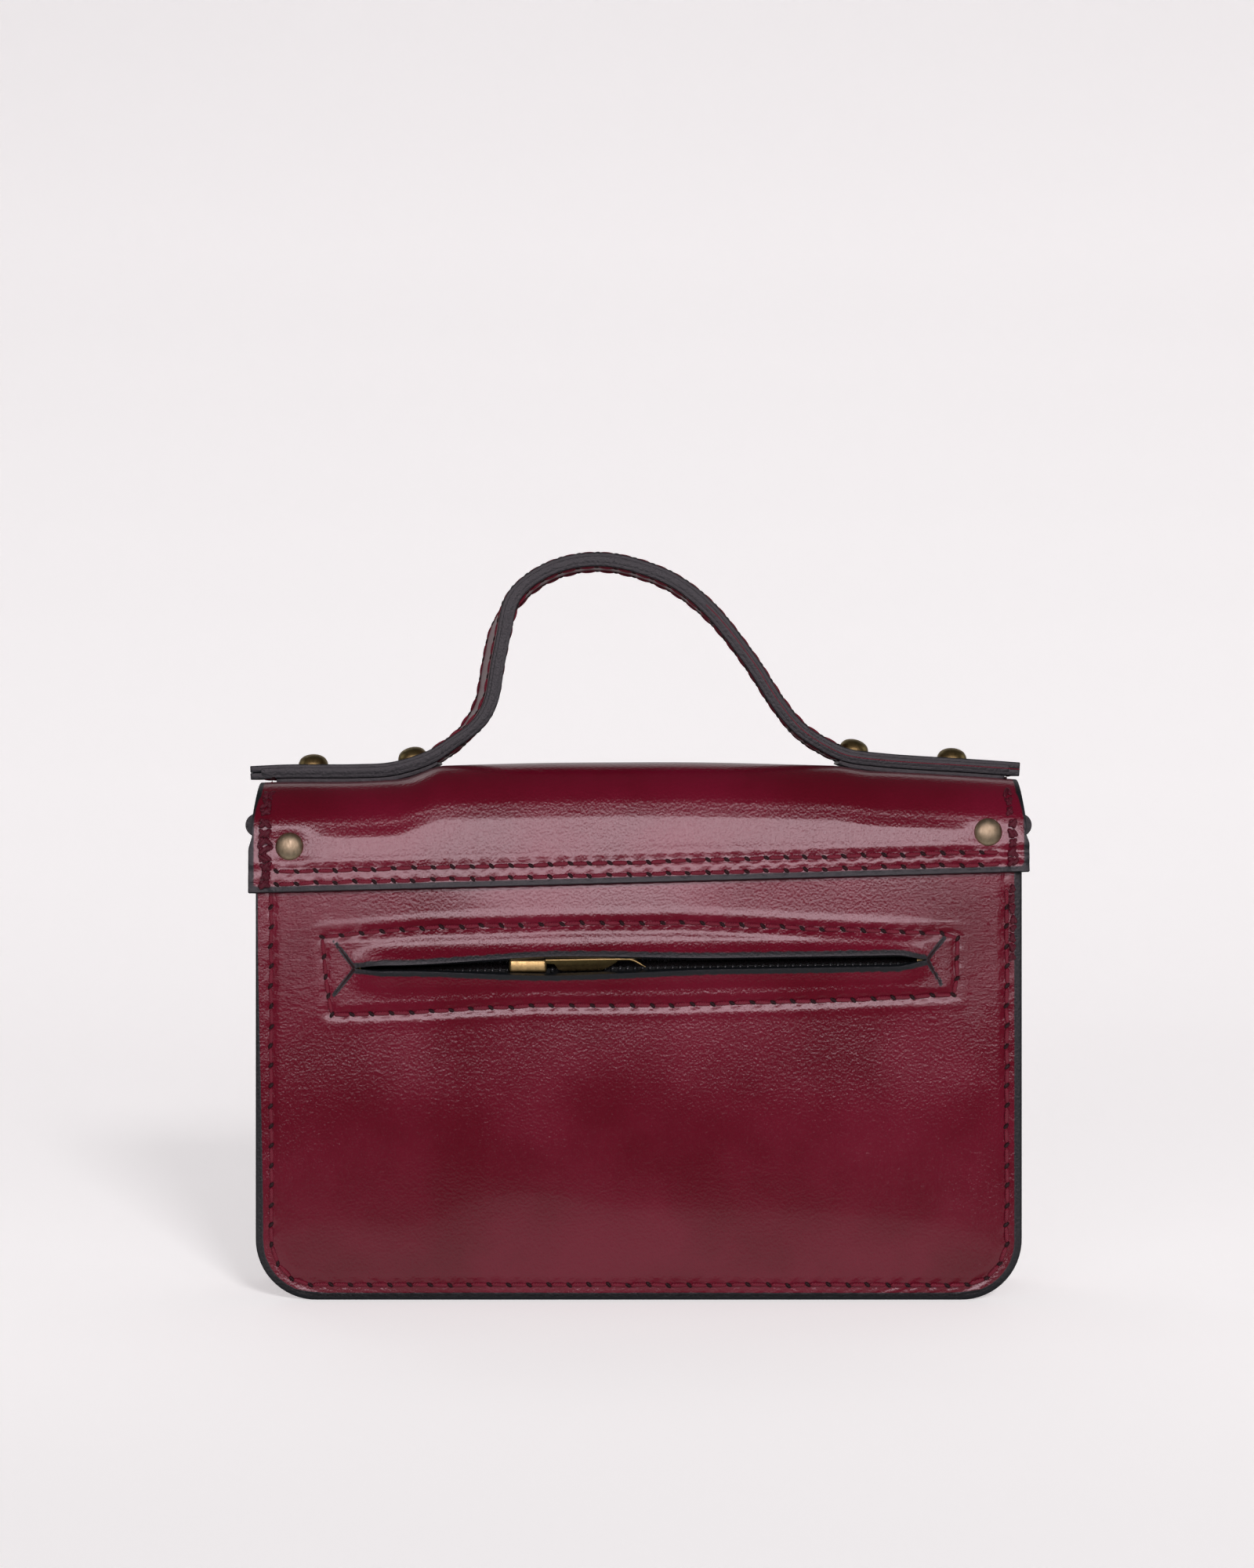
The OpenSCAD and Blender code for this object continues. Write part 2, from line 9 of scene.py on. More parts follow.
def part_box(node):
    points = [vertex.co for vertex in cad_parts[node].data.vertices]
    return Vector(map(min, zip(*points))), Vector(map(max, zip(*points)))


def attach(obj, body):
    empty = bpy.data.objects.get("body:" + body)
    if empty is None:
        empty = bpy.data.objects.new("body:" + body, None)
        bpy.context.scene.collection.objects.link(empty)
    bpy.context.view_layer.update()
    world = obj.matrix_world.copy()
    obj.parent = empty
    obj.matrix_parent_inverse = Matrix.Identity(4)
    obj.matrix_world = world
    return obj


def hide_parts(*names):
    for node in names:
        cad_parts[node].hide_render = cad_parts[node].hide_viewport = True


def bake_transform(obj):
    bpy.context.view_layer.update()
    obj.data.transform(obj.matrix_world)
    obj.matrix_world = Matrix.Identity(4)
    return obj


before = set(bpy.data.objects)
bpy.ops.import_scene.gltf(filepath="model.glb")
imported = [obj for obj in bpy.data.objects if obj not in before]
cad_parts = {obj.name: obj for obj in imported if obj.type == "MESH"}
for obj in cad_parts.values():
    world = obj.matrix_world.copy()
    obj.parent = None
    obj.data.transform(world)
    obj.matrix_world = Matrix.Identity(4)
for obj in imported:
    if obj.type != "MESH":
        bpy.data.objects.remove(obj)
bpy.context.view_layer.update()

mm = 0.001
random.seed(7)
bpy.context.scene.view_settings.view_transform = "Standard"
bpy.context.scene.view_settings.look = "None"


# ---- small tools ----

def deselectAll():
    if bpy.context.object and bpy.context.object.mode == "EDIT":
        bpy.ops.object.mode_set(mode="OBJECT")
    bpy.ops.object.select_all(action="DESELECT")


def makeActive(obj):
    deselectAll()
    obj.select_set(True)
    bpy.context.view_layer.objects.active = obj


def applyAs(obj, kind, **settings):
    makeActive(obj)
    mod = obj.modifiers.new(kind.title(), kind)
    for key, value in settings.items():
        setattr(mod, key, value)
    bpy.ops.object.modifier_apply(modifier=mod.name)


def smoothByAngle(obj, degrees=40):
    makeActive(obj)
    bpy.ops.object.shade_smooth_by_angle(angle=math.radians(degrees))


def mergeDoubles(obj, distance=0.004 * mm, outward=False):
    makeActive(obj)
    bpy.ops.object.mode_set(mode="EDIT")
    bpy.ops.mesh.select_all(action="SELECT")
    bpy.ops.mesh.remove_doubles(threshold=distance)
    bpy.ops.mesh.dissolve_degenerate(threshold=distance)
    if outward:
        bpy.ops.mesh.normals_make_consistent(inside=False)
    bpy.ops.object.mode_set(mode="OBJECT")


def settle(obj):
    # place, turn and scale go into the mesh
    makeActive(obj)
    bpy.ops.object.transform_apply(location=True, rotation=True, scale=True)


def layGrid(name, columns, rows, place):
    # a flat grid, then every point laid where place(column share, row share) says
    deselectAll()
    bpy.ops.mesh.primitive_grid_add(x_subdivisions=columns, y_subdivisions=rows, size=1)
    obj = bpy.context.object
    obj.name = name
    for vert in obj.data.vertices:
        vert.co = place(vert.co.x + 0.5, vert.co.y + 0.5)
    return obj


def smoothStep(low, high, x):
    t = min(1.0, max(0.0, (x - low) / (high - low)))
    return t * t * (3 - 2 * t)


def hump(x, width):
    # 1 at the middle, 0 from the given distance on
    return smoothStep(width, 0, abs(x)) if width else 0.0


def spread(parts):
    # positions along a line: each part is (start, end, step)
    out = []
    for start, end, step in parts:
        count = max(1, round(abs(end - start) / step))
        out += [start + (end - start) * k / count for k in range(count)]
    out.append(parts[-1][1])
    return out


def pick(values, share):
    # the value at a share of a list, for rows and columns that aren't even
    at = share * (len(values) - 1)
    k = min(int(at), len(values) - 2)
    return values[k] + (values[k + 1] - values[k]) * (at - k)


def alongRounded(halfWidth, low, high, radius):
    # an open U: down one side, round two bottom corners, up the other; list of (x, z)
    side = high - low - radius
    flat = 2 * (halfWidth - radius)
    arc = math.pi * radius / 2
    total = 2 * side + flat + 2 * arc

    def at(s):
        if s < side:
            return halfWidth, high - s
        s -= side
        if s < arc:
            a = s / radius
            return halfWidth - radius + radius * math.cos(a), low + radius - radius * math.sin(a)
        s -= arc
        if s < flat:
            return halfWidth - radius - s, low
        s -= flat
        if s < arc:
            a = s / radius
            return -halfWidth + radius - radius * math.sin(a), low + radius - radius * math.cos(a)
        return -halfWidth, low + radius + s - arc

    return at, total


def roundedWidth(z, low, halfWidth, radius):
    # half width of a sheet with rounded bottom corners, at a height
    d = min(radius, max(0.0, z - low))
    return halfWidth - radius + math.sqrt(max(0.0, radius * radius - (radius - d) ** 2))


def seamRelief(d, along, pitch=5.6 * mm):
    # the thread draws the hide in, more between the holes, and a low ridge stands beside it
    pull = 0.3 + 0.16 * math.cos(along / pitch * math.tau)
    return mm * (pull * math.exp(-(d / (1.2 * mm)) ** 2)
                 - 0.11 * math.exp(-((d - 2.5 * mm) / (1.0 * mm)) ** 2))


def outlineDistance(x, z, low, high, halfWidth, radius, topToo=True):
    # distance in from the sheet's cut edge
    ax = abs(x)
    if z < low + radius and ax > halfWidth - radius:
        return max(0.0, radius - math.hypot(ax - halfWidth + radius, z - low - radius))
    d = min(halfWidth - ax, z - low)
    return max(0.0, min(d, high - z) if topToo else d)


def segmentDistance(p, a, b):
    ab = b - a
    t = max(0.0, min(1.0, (p - a).dot(ab) / ab.dot(ab)))
    return (p - a - ab * t).length


def paintEdges(obj, distance):
    # how far each point is from a cut edge, in millimetres, for the edge paint
    layer = obj.data.attributes.new("edgeDistance", "FLOAT", "POINT")
    layer.data.foreach_set("value", [distance(v.co) / mm for v in obj.data.vertices])


def scatter(name, pattern, places):
    # one modelled shape, copied to every place, each copy with its own mesh
    bm = bmesh.new()
    for place in places:
        copy = pattern.data.copy()
        copy.transform(place)
        bm.from_mesh(copy)
        bpy.data.meshes.remove(copy)
    mesh = bpy.data.meshes.new(name)
    bm.to_mesh(mesh)
    bm.free()
    for polygon in mesh.polygons:
        polygon.use_smooth = True
    obj = bpy.data.objects.new(name, mesh)
    bpy.context.collection.objects.link(obj)
    return obj


def turned(at, along, up):
    # place whose X runs along a direction and whose Z stands up from a surface
    x = along.normalized()
    z = (up - x * up.dot(x)).normalized()
    y = z.cross(x)
    return Matrix.Translation(at) @ Matrix((x, y, z)).transposed().to_4x4()


def discard(obj):
    bpy.data.objects.remove(obj, do_unlink=True)


# ---- materials ----

def newGroup(name, inputs, outputs):
    group = bpy.data.node_groups.new(name, "ShaderNodeTree")
    for label, kind, value in inputs:
        socket = group.interface.new_socket(label, in_out="INPUT", socket_type="NodeSocket" + kind)
        socket.default_value = value
    for label, kind in outputs:
        group.interface.new_socket(label, in_out="OUTPUT", socket_type="NodeSocket" + kind)
    return group, group.nodes.new("NodeGroupInput"), group.nodes.new("NodeGroupOutput")


def addNode(tree, kind, inputs=None, **settings):
    node = tree.nodes.new("ShaderNode" + kind)
    for key, value in settings.items():
        setattr(node, key, value)
    for key, value in (inputs or {}).items():
        if hasattr(value, "is_output"):
            tree.links.new(value, node.inputs[key])
        else:
            node.inputs[key].default_value = value
    return node


def mathNode(tree, operation, a, b=0.0, clamp=False):
    return addNode(tree, "Math", {0: a, 1: b}, operation=operation, use_clamp=clamp).outputs[0]


def rampNode(tree, value, low, high, outLow=0.0, outHigh=1.0):
    return addNode(tree, "MapRange", {"Value": value, "From Min": low, "From Max": high,
                                      "To Min": outLow, "To Max": outHigh},
                   interpolation_type="SMOOTHSTEP").outputs[0]


def stretched(tree, scale, location=(0, 0, 0)):
    coords = addNode(tree, "TexCoord").outputs["Object"]
    return addNode(tree, "Mapping", {"Vector": coords, "Scale": scale,
                                     "Location": location}).outputs[0]


def makeGrainGroup():
    # pores, fine wrinkles and slow mottling of a polished hide
    group, inp, out = newGroup("hideGrain", [("Pore Scale", "Float", 1500.0),
                                             ("Wrinkle", "Float", 0.3)],
                               [("Height", "Float"), ("Mottle", "Float"), ("Fine", "Float")])
    flat = stretched(group, (1, 1, 1))
    pores = addNode(group, "TexVoronoi", {"Vector": flat, "Scale": inp.outputs["Pore Scale"]},
                    feature="SMOOTH_F1").outputs["Distance"]
    lines = addNode(group, "TexNoise", {"Vector": stretched(group, (160, 420, 620)), "Scale": 1.0,
                                        "Detail": 4.0, "Roughness": 0.6,
                                        "Distortion": 0.8}).outputs[0]
    slow = addNode(group, "TexNoise", {"Vector": flat, "Scale": 28.0, "Detail": 4.0}).outputs[0]
    fine = addNode(group, "TexNoise", {"Vector": flat, "Scale": 900.0, "Detail": 5.0,
                                       "Roughness": 0.7}).outputs[0]
    wave = mathNode(group, "MULTIPLY", lines, inp.outputs["Wrinkle"])
    height = mathNode(group, "ADD", mathNode(group, "MULTIPLY", pores, 0.35), wave)
    group.links.new(mathNode(group, "ADD", height, mathNode(group, "MULTIPLY", fine, 0.35)),
                    out.inputs["Height"])
    group.links.new(slow, out.inputs["Mottle"])
    group.links.new(fine, out.inputs["Fine"])
    return group


def makePaintGroup():
    # mask of the dark burnished paint on cut edges
    group, inp, out = newGroup("edgePaint", [("Width", "Float", 0.5)], [("Mask", "Float")])
    away = addNode(group, "Attribute", attribute_name="edgeDistance").outputs["Fac"]
    rough = addNode(group, "TexNoise", {"Vector": stretched(group, (1, 1, 1)), "Scale": 500.0,
                                        "Detail": 2.0}).outputs[0]
    edge = mathNode(group, "ADD", away, mathNode(group, "MULTIPLY",
                                                 mathNode(group, "SUBTRACT", rough, 0.5), 0.25))
    share = mathNode(group, "DIVIDE", edge, inp.outputs["Width"])
    group.links.new(rampNode(group, share, 0.8, 1.15, 1.0, 0.0), out.inputs["Mask"])
    return group


grainGroup = makeGrainGroup()
paintGroup = makePaintGroup()


def newMaterial(name, **values):
    mat = bpy.data.materials.new(name)
    mat.use_nodes = True
    shader = mat.node_tree.nodes["Principled BSDF"]
    for key, value in values.items():
        shader.inputs[key.replace("_", " ")].default_value = value
    return mat, mat.node_tree, shader


def placeGroup(tree, group, **values):
    node = tree.nodes.new("ShaderNodeGroup")
    node.node_tree = group
    for key, value in values.items():
        node.inputs[key.replace("_", " ")].default_value = value
    return node


def mixColour(tree, share, a, b):
    node = tree.nodes.new("ShaderNodeMix")
    node.data_type = "RGBA"
    for socket, value in ((node.inputs[0], share), (node.inputs[6], a), (node.inputs[7], b)):
        if hasattr(value, "is_output"):
            tree.links.new(value, socket)
        else:
            socket.default_value = value
    return node.outputs[2]


def sideMask(tree, centre, reach):
    # soft box of influence round a place, mirrored to both sides of the bag
    parts = addNode(tree, "SeparateXYZ", {0: addNode(tree, "TexCoord").outputs["Object"]})
    ax = mathNode(tree, "ABSOLUTE", parts.outputs["X"])
    inX = rampNode(tree, mathNode(tree, "ABSOLUTE", mathNode(tree, "SUBTRACT", ax, centre[0])),
                   reach[0], 0.0)
    inZ = rampNode(tree, mathNode(tree, "ABSOLUTE",
                                  mathNode(tree, "SUBTRACT", parts.outputs["Z"], centre[1])),
                   reach[1], 0.0)
    return mathNode(tree, "MULTIPLY", inX, inZ)


def makeLeather(name, colour, deep, paint=(0.007, 0.008, 0.010, 1), paintWidth=0.45,
                roughness=0.15, wrinkle=0.12, pores=1500.0, coat=0.3, bump=0.34, creases=True,
                sideAxis=None):
    mat, tree, shader = newMaterial(name, Coat_Roughness=0.1, Specular_IOR_Level=0.4)
    grain = placeGroup(tree, grainGroup, Pore_Scale=pores, Wrinkle=wrinkle)
    if sideAxis:                            # the piece's cut sides face along one axis
        facing = addNode(tree, "SeparateXYZ", {0: addNode(tree, "TexCoord").outputs["Normal"]})
        side = mathNode(tree, "ABSOLUTE", facing.outputs[sideAxis])
        edge = rampNode(tree, side, 0.6, 0.8)
    else:
        edge = placeGroup(tree, paintGroup, Width=paintWidth).outputs["Mask"]
    mottle = rampNode(tree, grain.outputs["Mottle"], 0.3, 0.7)
    hide = mixColour(tree, mottle, deep, colour)
    speck = rampNode(tree, grain.outputs["Fine"], 0.62, 0.78, 0.0, 0.35)
    hide = mixColour(tree, speck, hide, [c * 0.6 for c in deep[:3]] + [1])
    base = mixColour(tree, edge, hide, paint)
    tree.links.new(base, shader.inputs["Base Color"])
    gloss = rampNode(tree, grain.outputs["Mottle"], 0.25, 0.75, roughness - 0.04, roughness + 0.05)
    gloss = addNode(tree, "Mix", {0: edge, 2: gloss, 3: 0.42}).outputs[0]
    tree.links.new(gloss, shader.inputs["Roughness"])
    coated = mathNode(tree, "MULTIPLY", mathNode(tree, "SUBTRACT", 1.0, edge), coat)
    tree.links.new(coated, shader.inputs["Coat Weight"])
    height = grain.outputs["Height"]
    if creases:
        lines = addNode(tree, "TexNoise", {"Vector": stretched(tree, (190, 190, 620)),
                                           "Scale": 1.0, "Detail": 5.0, "Roughness": 0.65,
                                           "Distortion": 1.6}).outputs[0]
        worn = mathNode(tree, "MULTIPLY", lines, sideMask(tree, (0.093, 0.1), (0.034, 0.034)))
        height = mathNode(tree, "ADD", height, mathNode(tree, "MULTIPLY", worn, 1.1))
    shaped = addNode(tree, "Bump", {"Height": height, "Strength": bump, "Distance": 0.0006})
    tree.links.new(shaped.outputs[0], shader.inputs["Normal"])
    return mat


def makeBrass(name, colour, dark, roughness, wear=0.5, blots=420.0, bump=0.12):
    mat, tree, shader = newMaterial(name, Metallic=1.0)
    flat = stretched(tree, (1, 1, 1))
    blot = addNode(tree, "TexNoise", {"Vector": flat, "Scale": blots, "Detail": 6.0,
                                      "Roughness": 0.7}).outputs[0]
    scratch = addNode(tree, "TexNoise", {"Vector": stretched(tree, (2500, 500, 500)),
                                         "Scale": 1.0, "Detail": 3.0}).outputs[0]
    aged = rampNode(tree, blot, 0.4, 0.68, 0.0, wear)
    tree.links.new(mixColour(tree, aged, colour, dark), shader.inputs["Base Color"])
    tree.links.new(rampNode(tree, scratch, 0.3, 0.7, roughness - 0.06, roughness + 0.1),
                   shader.inputs["Roughness"])
    shaped = addNode(tree, "Bump", {"Height": mathNode(tree, "ADD", blot, scratch),
                                    "Strength": bump, "Distance": 0.0002})
    tree.links.new(shaped.outputs[0], shader.inputs["Normal"])
    return mat


def makeThread(name, colour, dark):
    mat, tree, shader = newMaterial(name, Roughness=0.55, Specular_IOR_Level=0.3)
    ply = addNode(tree, "TexWave", {"Vector": stretched(tree, (1, 1, 1)), "Scale": 900.0,
                                    "Distortion": 2.0}, bands_direction="DIAGONAL").outputs["Fac"]
    fuzz = addNode(tree, "TexNoise", {"Vector": stretched(tree, (1, 1, 1)), "Scale": 260.0,
                                      "Detail": 3.0}).outputs[0]
    # darker in the grooves between the plies, where the bump sinks: painted shade, mixed with random
    # fuzz tone
    shade = mathNode(tree, "MULTIPLY", mathNode(tree, "ADD", ply, fuzz), 0.5)
    tree.links.new(mixColour(tree, shade, dark, colour), shader.inputs["Base Color"])
    shaped = addNode(tree, "Bump", {"Height": ply, "Strength": 0.5, "Distance": 0.0002})
    tree.links.new(shaped.outputs[0], shader.inputs["Normal"])
    return mat


def makeCloth(name, colour, dark, pitch, roughness=0.85):
    mat, tree, shader = newMaterial(name, Specular_IOR_Level=0.2, Sheen_Weight=0.15)
    warp = addNode(tree, "TexWave", {"Vector": stretched(tree, (1, 1, 1)), "Scale": pitch,
                                     "Distortion": 0.4}, bands_direction="X").outputs["Fac"]
    weft = addNode(tree, "TexWave", {"Vector": stretched(tree, (1, 1, 1)), "Scale": pitch,
                                     "Distortion": 0.4}, bands_direction="Z").outputs["Fac"]
    weave = mathNode(tree, "MAXIMUM", warp, weft)
    dirt = addNode(tree, "TexNoise", {"Vector": stretched(tree, (1, 1, 1)), "Scale": 120.0,
                                      "Detail": 4.0}).outputs[0]
    # darker in the gaps of the weave, where the bump sinks: painted shade, times random dirt tone
    tree.links.new(mixColour(tree, mathNode(tree, "MULTIPLY", weave, dirt), dark, colour),
                   shader.inputs["Base Color"])
    tree.links.new(rampNode(tree, dirt, 0.2, 0.8, roughness - 0.1, roughness + 0.1),
                   shader.inputs["Roughness"])
    shaped = addNode(tree, "Bump", {"Height": weave, "Strength": 0.6, "Distance": 0.0002})
    tree.links.new(shaped.outputs[0], shader.inputs["Normal"])
    return mat


oxblood = (0.113, 0.0025, 0.014, 1)
oxbloodDeep = (0.08, 0.0012, 0.0075, 1)
leather = makeLeather("oxbloodLeather", oxblood, oxbloodDeep)
flapHide = makeLeather("flapLeather", oxblood, oxbloodDeep, paintWidth=1.6)
# dark edge paint all over; the same material also makes the painted shadow pieces under the handle's
# feet
edgePaintAndShadow = makeLeather("edgePaintAndShadow", oxblood, oxbloodDeep, paintWidth=60.0, creases=False)
handleLeather = makeLeather("handleLeather", oxblood, oxbloodDeep, paintWidth=0.5, roughness=0.38,
                            coat=0.1, creases=False)
innerLeather = makeLeather("gussetLeather", oxblood, oxbloodDeep, paintWidth=2.7, roughness=0.4,
                           creases=False)
strapLeather = makeLeather("strapLeather", oxblood, oxbloodDeep, creases=False, sideAxis="X")
tabLeather = makeLeather("tabLeather", oxblood, oxbloodDeep, creases=False, sideAxis="Y")
# near-black marks laid on stitch holes and along the slit cuts: painted shade in the holes and cuts
pitShadeMat = makeThread("holeAndCutShade", (0.02, 0.001, 0.003, 1), (0.006, 0.0005, 0.001, 1))
threadMat = makeThread("burgundyThread", (0.17, 0.006, 0.022, 1), (0.06, 0.002, 0.008, 1))
knotThread = makeThread("knotThread", (0.10, 0.005, 0.017, 1), (0.025, 0.001, 0.004, 1))
rivetBrass = makeBrass("paleRivetBrass", (0.50, 0.42, 0.28, 1), (0.3, 0.24, 0.14, 1), 0.5)
oldBrass = makeBrass("agedBrass", (0.24, 0.18, 0.075, 1), (0.10, 0.075, 0.03, 1), 0.42)
# a darker copy of the zip brass for the puller blade's face: painted shade
shadedBladeBrass = makeBrass("shadedBladeBrass", (0.17, 0.135, 0.055, 1), (0.08, 0.06, 0.025, 1), 0.36)
zipBrass = makeBrass("zipBrass", (0.46, 0.35, 0.15, 1), (0.3, 0.2, 0.07, 1), 0.36, wear=0.2,
                     blots=90.0, bump=0.03)
tapeCloth = makeCloth("zipTapeCloth", (0.02, 0.02, 0.022, 1), (0.006, 0.006, 0.007, 1), 900.0)
liningCloth = makeCloth("liningCloth", (0.06, 0.045, 0.05, 1), (0.02, 0.015, 0.018, 1), 700.0)
coilMat, coilTree, coilShader = newMaterial("zipCoil", Roughness=0.25)
coilTone = addNode(coilTree, "TexNoise", {"Vector": stretched(coilTree, (1, 1, 1)),
                                          "Scale": 700.0}).outputs[0]
coilTree.links.new(mixColour(coilTree, coilTone, (0.006, 0.006, 0.007, 1), (0.03, 0.03, 0.033, 1)),
                   coilShader.inputs["Base Color"])
print("materials made")


def dress(obj, body, slot, mat, *nodes):
    # material, the body that the piece rides on, its slot (not used), and the CAD nodes that it
    # stands for
    obj.data.materials.clear()
    obj.data.materials.append(mat)
    if body:
        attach(obj, body)
    if nodes:
        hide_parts(*nodes)


# ---- places taken from the frame ----

backLow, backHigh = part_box("back_panel")
frontLow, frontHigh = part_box("front_panel")
flapLow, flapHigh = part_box("flap")
stripLow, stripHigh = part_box("flap_back_strip")
backY = backHigh[1]                  # outer face of the back wall
frontY = frontLow[1]                 # outer face of the front wall
hide = backHigh[1] - backLow[1]      # thickness of the leather
midY = (backY + frontY) / 2
flapBackY = stripHigh[1]
flapFrontY = flapLow[1]
topZ = flapHigh[2]
crownR = 1.46                        # radius of the top seen from behind (m)
foot = {"sink": 2.4 * mm, "back": 1.5 * mm, "dent": 1.0 * mm, "rise": 1.1 * mm}


def crownDrop(x):
    return crownR - math.sqrt(crownR * crownR - x * x)


def strapDrop(x):
    # the foot at +X is pulled down into the top
    sink = foot["sink"] * smoothStep(55 * mm, 70 * mm, x)
    return crownDrop(x) + sink - foot["back"] * smoothStep(76 * mm, 110 * mm, x)


def flapDrop(x):
    # the top gives way a little below both feet
    return strapDrop(x) + foot["dent"] * smoothStep(55 * mm, 66 * mm, abs(x))


# ---- stitching ----

stitch = {"pitch": 5.6 * mm, "thread": 0.62 * mm, "high": 0.42 * mm, "holeShade": 1.05 * mm,
          "slant": -0.6}


def stitchPattern():
    deselectAll()
    bpy.ops.mesh.primitive_uv_sphere_add(segments=8, ring_count=7, radius=1)
    thread = bpy.context.object
    thread.scale = (0.43, stitch["thread"] / stitch["pitch"], stitch["high"] / stitch["pitch"])
    settle(thread)
    for vert in thread.data.vertices:       # blunter than an egg, pressed down at its ends
        vert.co.y *= 1 + 0.9 * abs(vert.co.x)
        vert.co.z -= 0.09 * vert.co.x ** 2
    # a flat dark lens for each stitch hole: painted shade where the hole sinks in
    bpy.ops.mesh.primitive_uv_sphere_add(segments=8, ring_count=6, radius=1)
    holeShade = bpy.context.object
    holeShade.scale = (1.0, 0.55, 0.34)
    settle(holeShade)
    return thread, holeShade


threadShape, holeShadeShape = stitchPattern()


def sew(name, body, slot, run, length, surface, normal, wobble=0.2, pitch=None, holes=True,
        sunk=0.2, mat=None):
    # run(s) gives a point on a line; surface(point) lays it on the leather
    pitch = pitch or stitch["pitch"]
    count = max(1, round(length / pitch))
    knots = []
    for k in range(count + 1):
        p = run(length * k / count)
        jitter = Vector((random.uniform(-1, 1), 0, random.uniform(-1, 1))) * wobble * mm
        knots.append(surface(p + jitter))
    threads, pitShades = [], []
    for k in range(count):
        a, b = knots[k], knots[k + 1]
        up = normal((a + b) / 2)
        along = b - a
        place = turned((a + b) / 2 + up * sunk * mm, along, up)
        thick = stitch["pitch"]
        threads.append(place @ Matrix.Diagonal((along.length * 1.02, thick, thick, 1)))
        # a dark lens at each hole: painted shade
        if holes:
            tilt = Matrix.Rotation(stitch["slant"] + random.uniform(-0.2, 0.2), 4, "Z")
            pitShades.append(turned(a + up * 0.12 * mm, along, up) @ tilt
                        @ Matrix.Scale(stitch["holeShade"], 4))
    sewn = scatter(name, threadShape, threads)
    dress(sewn, body, slot, mat or threadMat)
    if pitShades:
        pitShadeMarks = scatter(name + "_holes", holeShadeShape, pitShades)
        dress(pitShadeMarks, body, slot, pitShadeMat)


# ---- back wall with the slit ----

wall = {"low": backLow[2], "high": backHigh[2], "half": backHigh[0], "corner": 15 * mm,
        "slitZ": 94.4 * mm, "slitLow": -80.4 * mm, "slitHigh": 79.2 * mm, "tilt": 0.015,
        "lip": 2.0 * mm, "reach": 12.5 * mm, "gap": 1.7 * mm, "gapFar": 3.2 * mm,
        "gapSlider": 5.4 * mm, "sewIn": 4.6 * mm, "belly": 3.2 * mm, "bellyTop": 140 * mm,
        "ripple": 0.32 * mm, "shift": 1.5 * mm}
pocketSeam = [(88.6, 102.1), (60, 104.6), (20, 105.8), (-12, 106.1), (-50, 104.3), (-89.2, 102.8),
              (-88.8, 85.8), (-50, 84.2), (-10, 83.1), (30, 82.9), (60, 81.2), (86.4, 80.3)]


def slitLine(x):
    return wall["slitZ"] - wall["tilt"] * x


def slitGap(x):
    if x <= wall["slitLow"] or x >= wall["slitHigh"]:
        return 0.0
    toEnd = min(x - wall["slitLow"], wall["slitHigh"] - x)
    rest = wall["gap"] + (wall["gapFar"] - wall["gap"]) * smoothStep(30 * mm, 0, x)
    wide = rest + (wall["gapSlider"] - rest) * hump(x - 22 * mm, 46 * mm)
    return wide * smoothStep(-1.5 * mm, 9 * mm, toEnd)


def edgeShift(x, z):
    # the wall is sewn a little to one side, so less of the gusset's edge shows there
    return wall["shift"] * max(0.0, x / wall["half"]) * smoothStep(15 * mm, 110 * mm, z)


def wallBelly(x, z):
    middle = 1 - min(1.0, abs(x) / wall["half"]) ** 3
    return wall["belly"] * middle * math.sin(math.pi * min(1.0, max(0.0, z / wall["bellyTop"])))


def wallBulge(x, z):
    # how far the back wall stands out from flat: the lips, a slight belly, edges drawn in
    r = z - slitLine(x)
    toEnd = min(x - wall["slitLow"], wall["slitHigh"] - x)
    lips = wall["lip"] * smoothStep(-4 * mm, 9 * mm, toEnd) * (
        0.35 * hump(r, wall["reach"]) + 0.65 * hump(r, 0.55 * wall["reach"]))
    ripple = noise.noise(Vector((x * 32, 0.3, z * 45))) * wall["ripple"]
    return lips + wallBelly(x, z) + ripple


def wallSeams(x, z):
    # depth of the channel that the stitching pulls into the wall
    edge = outlineDistance(x, z, wall["low"], 1.0, wall["half"], wall["corner"], topToo=False)
    d = abs(edge - wall["sewIn"] + rimSeam)
    p = Vector((x, z))
    for k in range(len(pocketSeam)):
        a = Vector(pocketSeam[k]) * mm
        b = Vector(pocketSeam[(k + 1) % len(pocketSeam)]) * mm
        d = min(d, segmentDistance(p, a, b))
    return seamRelief(d, x + z)


rimSeam = 2 * mm


def wallSurface(x, z):
    return backY + wallBulge(x, z) - wallSeams(x, z)


